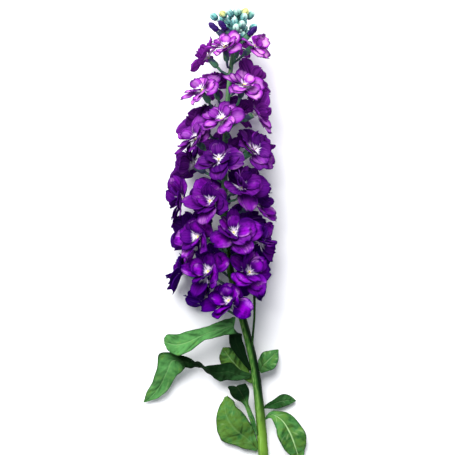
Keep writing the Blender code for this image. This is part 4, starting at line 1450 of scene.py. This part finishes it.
def leaf_surface(rows, look, seed):
    """The place on a leaf's blade at t along it and v across it: creased at the midrib, with waved
    edges. Its root is set against the stem."""
    middles, sides = np.array([row[0] for row in rows]), np.array([row[1] for row in rows])
    axis = stem_point(middles[0][1])
    radius = along(STEM_RADII, middles[0][1])
    middles[0] = axis + unit(middles[0] - axis) * (radius + LEAF_SEAT)
    length = np.linalg.norm(np.diff(middles, axis=0), axis=1).sum()
    draw = random.Random(seed)
    phases = [draw.uniform(*ANY_PHASE) for _ in range(3)]

    def upper(t):
        way = through(middles, t + LEAF_STEP) - through(middles, t - LEAF_STEP)
        return unit(np.cross(way, through(sides, t)))

    top = 1.0 if upper(np.array(0.5))[2] > 0.0 else -1.0

    def surface(t, v):
        v = v * top
        side = through(sides, t)
        wide = np.linalg.norm(side, axis=1)
        phase = 2.0 * np.pi * length * t / LEAF_WAVE_LENGTH
        off = np.abs(v)
        wave = LEAF_WAVE * np.sin(phase + LEAF_WAVE_ACROSS * v) * np.minimum(1.0, wide / LEAF_WAVES_FROM)
        fine = np.minimum(1.0, wide / FRILLS_FROM)
        frill = FRILL * off**3 * fine * np.sin(FRILL_WAVES * phase + phases[0] + 2.0 * v)
        groove = -GROOVE * np.exp(-((v / GROOVE_WIDTH) ** 2)) * fine
        wrinkle = np.sin(WRINKLE_WAVES[0] * phase + WRINKLE_SLANTS[0] * off + phases[2])
        finer = np.sin(WRINKLE_WAVES[1] * phase + WRINKLE_SLANTS[1] * v + phases[0])
        wrinkle = (wrinkle + FINER_WRINKLES * finer) * 4.0 * off * (1.0 - off)
        wrinkle = look.wrinkle / MM * wrinkle * np.minimum(1.0, wide / WRINKLES_FROM)
        lift = top * (off * (LEAF_FOLD * wide + wave) + frill + groove + wrinkle)
        widen = 1.0 + EDGE_UNEVEN * np.sin(EDGE_WAVES * phase + phases[1]) * np.sign(v)
        return through(middles, t) + side * (v * widen)[:, None] + upper(t) * lift[:, None]

    return surface


def make_leaves(look):
    """Every leaf: a creased and waved strap with its own tint."""
    upper = leaf_finish("leaf_upper", look, look.bright)
    lower = leaf_finish("leaf_under", look, look.under)
    for k, (name, rows) in enumerate(LEAVES.items()):
        blade = sheet(LEAF_ROWS_PER_POINT * len(rows), LEAF_COLUMNS)
        colouring = LEAF_LOOKS[name]
        shade = along(colouring.shades, (points_of(blade)[:, 1] + 1.0) / 2.0)
        piece = laid(blade, f"blade_{name}", leaf_surface(rows, look, k))
        give(piece, bright=colouring.bright, yellow=colouring.yellow, rib=colouring.rib, shade=shade)
        handed_over(piece, [upper, lower], [name], smooth_below=180.0, thickness=look.thickness)


def make_stage(look):
    """A pale floor, a soft main light from the upper left, light from all round, and the camera."""
    select_only()
    bpy.ops.mesh.primitive_plane_add(size=FLOOR_SIZE)
    floor = bpy.context.object
    floor.name = "floor"
    floor.data.materials.append(floor_finish(look))
    bpy.ops.object.light_add(type="SUN", rotation=[math.radians(turn) for turn in KEY_TURNS])
    key = bpy.context.object.data
    key.energy = look.key
    key.angle = math.radians(KEY_SPREAD)
    world = bpy.data.worlds.new("studio")
    world.use_nodes = True
    sky = world.node_tree.nodes["Background"]
    sky.inputs["Color"].default_value = SKY
    sky.inputs["Strength"].default_value = look.fill
    bpy.context.scene.world = world
    bpy.ops.object.camera_add(location=(0.0, look.view_middle, look.camera_height))
    camera = bpy.context.object
    camera.data.sensor_fit = "VERTICAL"
    camera.data.angle = 2.0 * math.atan(look.view_height / 2.0 / (look.camera_height - STEM_HEIGHT))
    camera.data.clip_end = CAMERA_REACH
    bpy.context.scene.camera = camera
    bpy.context.scene.view_settings.view_transform = "Standard"


class STOCK_OT_stem(bpy.types.Operator):
    """Makes the ridged stem"""

    bl_idname = "stock.stem"
    bl_label = "Stem"

    def execute(self, context):
        make_stem(context.scene.stock_stem)
        return {"FINISHED"}


class STOCK_OT_calyces(bpy.types.Operator):
    """Makes the stalks and calyces"""

    bl_idname = "stock.calyces"
    bl_label = "Stalks and Calyces"

    def execute(self, context):
        make_calyces(context.scene.stock_stem)
        return {"FINISHED"}


class STOCK_OT_green_buds(bpy.types.Operator):
    """Makes the closed buds of the tip"""

    bl_idname = "stock.green_buds"
    bl_label = "Green Buds"

    def execute(self, context):
        make_green_buds(context.scene.stock_stem)
        return {"FINISHED"}


class STOCK_OT_florets(bpy.types.Operator):
    """Makes the petals of the open florets"""

    bl_idname = "stock.florets"
    bl_label = "Florets"

    def execute(self, context):
        make_florets(context.scene.stock_petals)
        return {"FINISHED"}


class STOCK_OT_eyes(bpy.types.Operator):
    """Makes the stamens in the throats"""

    bl_idname = "stock.eyes"
    bl_label = "Stamens"

    def execute(self, context):
        make_eyes(context.scene.stock_petals)
        return {"FINISHED"}


class STOCK_OT_purple_buds(bpy.types.Operator):
    """Makes the rolled purple buds"""

    bl_idname = "stock.purple_buds"
    bl_label = "Purple Buds"

    def execute(self, context):
        make_purple_buds(context.scene.stock_stem, context.scene.stock_petals)
        return {"FINISHED"}


class STOCK_OT_leaves(bpy.types.Operator):
    """Makes the leaves"""

    bl_idname = "stock.leaves"
    bl_label = "Leaves"

    def execute(self, context):
        make_leaves(context.scene.stock_leaves)
        return {"FINISHED"}


class STOCK_OT_stage(bpy.types.Operator):
    """Makes the floor, the lights and the camera"""

    bl_idname = "stock.stage"
    bl_label = "Stage"

    def execute(self, context):
        make_stage(context.scene.stock_stage)
        return {"FINISHED"}


SETTINGS = {
    "stock_petals": StockPetalSettings,
    "stock_stem": StockStemSettings,
    "stock_leaves": StockLeafSettings,
    "stock_stage": StockStageSettings,
}
OPERATORS = (
    STOCK_OT_stem,
    STOCK_OT_calyces,
    STOCK_OT_green_buds,
    STOCK_OT_florets,
    STOCK_OT_eyes,
    STOCK_OT_purple_buds,
    STOCK_OT_leaves,
    STOCK_OT_stage,
)


class STOCK_PT_panel(bpy.types.Panel):
    """Lists the settings and the pieces of the flower spike"""

    bl_idname = "STOCK_PT_panel"
    bl_label = "Stock Flower Spike"
    bl_space_type = "VIEW_3D"
    bl_region_type = "UI"
    bl_category = "Stock"

    def draw(self, context):
        for name, group in SETTINGS.items():
            box = self.layout.box()
            for setting in group.__annotations__:
                box.prop(getattr(context.scene, name), setting)
        for operator in OPERATORS:
            self.layout.operator(operator.bl_idname)


def register():
    for group in SETTINGS.values():
        bpy.utils.register_class(group)
    for operator in OPERATORS:
        bpy.utils.register_class(operator)
    bpy.utils.register_class(STOCK_PT_panel)
    for name, group in SETTINGS.items():
        setattr(bpy.types.Scene, name, PointerProperty(type=group))


def unregister():
    for name in SETTINGS:
        delattr(bpy.types.Scene, name)
    bpy.utils.unregister_class(STOCK_PT_panel)
    for operator in reversed(OPERATORS):
        bpy.utils.unregister_class(operator)
    for group in reversed(SETTINGS.values()):
        bpy.utils.unregister_class(group)


def main():
    register()
    bpy.ops.stock.stem()
    bpy.ops.stock.calyces()
    bpy.ops.stock.green_buds()
    bpy.ops.stock.florets()
    bpy.ops.stock.eyes()
    bpy.ops.stock.purple_buds()
    bpy.ops.stock.leaves()
    bpy.ops.stock.stage()


if __name__ == "__main__":
    main()
